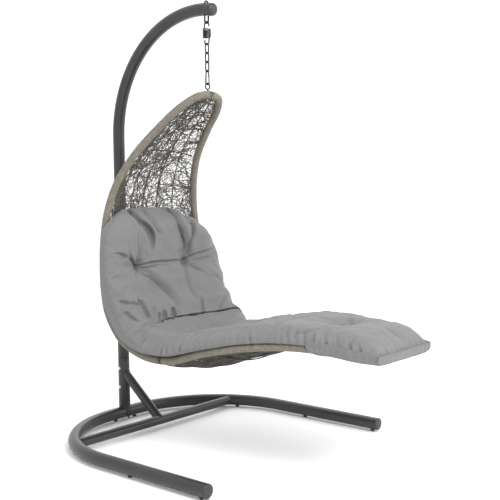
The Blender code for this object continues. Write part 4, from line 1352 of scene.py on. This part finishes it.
def inflate(obj, held):
    """Blows the cushion up as cloth, held where it is sewn or rests, and returns how far each point moved.
    """
    mesh = obj.data
    group = obj.vertex_groups.new(name="held")
    for weight in (1.0, 0.6):
        chosen = np.nonzero(np.isclose(held, weight))[0].tolist()
        group.add(chosen, weight, "REPLACE")
    modifier = obj.modifiers.new("cloth", "CLOTH")
    settings = modifier.settings
    for name, value in CLOTH.items():
        setattr(settings, name, value)
    settings.effector_weights.gravity = 0.0
    modifier.point_cache.frame_start = 1
    modifier.point_cache.frame_end = CLOTH_FRAMES
    start = read(mesh.vertices, "co")
    for number in range(1, CLOTH_FRAMES + 1):
        bpy.context.scene.frame_set(number)
    evaluated = obj.evaluated_get(bpy.context.evaluated_depsgraph_get())
    moved = read(evaluated.data.vertices, "co") - start
    obj.modifiers.remove(modifier)
    bpy.context.scene.frame_set(1)
    obj.vertex_groups.clear()
    return moved


def capped(moved, cap):
    """Movements whose length grows towards a cap and never passes it."""
    length = np.linalg.norm(moved, axis=1)
    allowed = cap * np.tanh(length / np.maximum(cap, 1e-6))
    return moved * (allowed / np.maximum(length, 1e-9))[:, None]


def shrunk(across, run, upper):
    """How far the cushion's skin starts inside its final shape, most of all at tufts and folds."""
    smaller = np.full_like(across, SHRUNK)
    for x, along, depth, radius in TUFTS:
        smaller += depth * np.exp(-(np.hypot(across - x, run - along) / radius) ** 1.5)
    for fold in FOLDS:
        if fold[0] > DEEP_FOLD:
            smaller += 0.6 * fold_depth(across, run, fold)
    return limited(smaller, SHRUNK_MOST) * np.clip(upper * 4.0, 0.0, 1.0)


def held_weights(across, run, upper):
    """1 at the tufts and the underside, 0.6 along the seam and 0 where the skin is free."""
    tufted = np.zeros_like(across, bool)
    for x, along, _, _ in TUFTS:
        tufted |= np.hypot(across - x, run - along) < HELD_TUFT_R
    held = np.where((tufted & (upper > 0)) | (upper < -0.15), 1.0, 0.0)
    return np.where(np.abs(upper) < 0.03, 0.6, held)


def build_cushion(fabric):
    points, places = cushion_grid()
    cushion = add_object("cushion_canvas", points.reshape(-1, 3), cushion_faces(len(points)))
    mesh = cushion.data
    mesh.update()
    for name in PLACES:
        attribute = mesh.attributes.new(name, "FLOAT", "POINT")
        attribute.data.foreach_set("value", places[name].astype(np.float32).ravel())
    across, run, upper = (places[name].reshape(-1) for name in PLACES)
    move_points(mesh, -read(mesh.vertices, "normal") * shrunk(across, run, upper)[:, None])
    moved = inflate(cushion, held_weights(across, run, upper))
    move_points(mesh, capped(moved, np.where(upper > 0, PUFF, PUFF_UNDER)))
    smoothing = cushion.modifiers.new("smooth", "SUBSURF")
    smoothing.levels = 1
    smoothing.render_levels = 1
    mesh = evaluated_mesh(cushion)
    cushion.data = mesh
    places = {name: read(mesh.attributes[name].data, "value", 1)[:, 0] for name in PLACES}
    move_points(mesh, read(mesh.vertices, "normal") * fold_relief(places)[:, None])
    for name in PLACES:
        mesh.attributes.remove(mesh.attributes[name])
    mesh.materials.append(fabric)
    mesh.shade_smooth()
    attach(cushion, ["cushion"])


POCKET_START = RUN_FOOT - 0.150
POCKET_DEPTH = (            # distance along the cushion, pocket's underside below the rim's centre line
    (POCKET_START, 0.0225), (RUN_FOOT - 0.02, 0.0245), (RUN_FOOT + 0.060, 0.0265), (RUN_END, 0.0210),
)
POCKET_FRONT = 0.017        # length over which its underside turns up to the front seam
POCKET_BULGE = 0.008
POCKET_WALL = 0.0016
HEM_SLANT = 0.085
HEM_LENGTH = 0.10


def build_pocket(fabric):
    """Fabric pocket under the cushion's foot, slipped over the end of the rim."""
    run = np.arange(POCKET_START, RUN_END - 0.030, 0.0045)
    turning = RUN_END - POCKET_FRONT * np.cos(np.linspace(0.0, QUARTER, 9))
    run = np.concatenate([run, turning])
    centre, normal, _, near, far, _ = cushion_axis(run)
    thickness, seam = cushion_thickness(run), smooth_table(SEAM_HEIGHT, run)
    angle = np.linspace(math.pi, 2.0 * math.pi, 161)[None]
    cos, sin = np.cos(angle), np.abs(np.sin(angle))
    half = np.where(cos > 0.0, far[:, None], near[:, None])
    past = np.clip((run - RUN_END + POCKET_FRONT) / POCKET_FRONT, 0.0, 1.0)[:, None]
    high = (CUSHION_CLEAR + seam * thickness - 0.0005)[:, None]
    low = -smooth_table(POCKET_DEPTH, run)[:, None]
    low = high - (high - low) * np.sqrt(np.maximum(1.0 - past ** 2, 0.0)) - 0.001
    across = np.sign(cos) * np.abs(cos) ** 0.30 * (half - 0.0016 + 0.0050 * np.minimum(sin * 4.0, 1.0))
    lift = high + 0.002 - (high - low) * sin ** 0.30
    along = run[:, None]
    ridge = np.sin(2.0 * math.pi * along * 33.0 + 2.4 * np.sin(along * 29.0) + 2.0 * sin)
    side_pull = 0.0046 * np.exp(-sin / 0.45) * np.minimum(sin * 8.0, 1.0) * (0.5 + 0.5 * ridge) ** 3
    across = across - side_pull * np.sign(cos)
    front_pull = 0.0040 * front_gathers(across) * past * np.sqrt(np.maximum(1.0 - past, 0.0)) * 2.0
    hem = np.clip(1.0 - (run - POCKET_START) / HEM_LENGTH, 0.0, 1.0)[:, None]
    bulge = POCKET_BULGE * np.sin(math.pi * past) ** 0.7
    shift = HEM_SLANT * sin ** 1.4 * hem - front_pull + bulge
    points = centre[:, None] + normal[:, None] * lift[..., None] + FOOT_DIRECTION * shift[..., None]
    points[..., 0] = across
    faces = grid_faces(len(run), angle.size, closed_columns=False)
    pocket = add_object("foot_pocket", points.reshape(-1, 3), faces)
    wall = pocket.modifiers.new("wall", "SOLIDIFY")
    wall.thickness = POCKET_WALL
    wall.offset = 1.0
    pocket.data = evaluated_mesh(pocket)
    pocket.data.materials.append(fabric)
    pocket.data.shade_smooth()
    attach(pocket, body="chaise")


# ---------------- build
add_camera()
add_studio()
COAT = powder_coat()
BLACK = black_steel()
BRIGHT = bright_steel()
PLASTIC = black_plastic()
WRAP = wicker("wicker_wrap", (0.132, 0.119, 0.095), (0.205, 0.186, 0.149), (0.256, 0.235, 0.194))
# The weave's colours are darker than the wrap's wicker. Its dark brown is painted shade, for strands seen
# back-lit and in shadow, and its light taupe is the strands' own colour.
WEAVE = wicker("wicker_weave_painted_shade", (0.036, 0.031, 0.027), (0.108, 0.097, 0.083), (0.190, 0.172, 0.150))
CANVAS = canvas()

build_stand(COAT, PLASTIC, BRIGHT)
build_hardware(BLACK)
build_rim(WRAP, COAT)
build_bed(WEAVE, COAT)
build_cushion(CANVAS)
build_pocket(CANVAS)
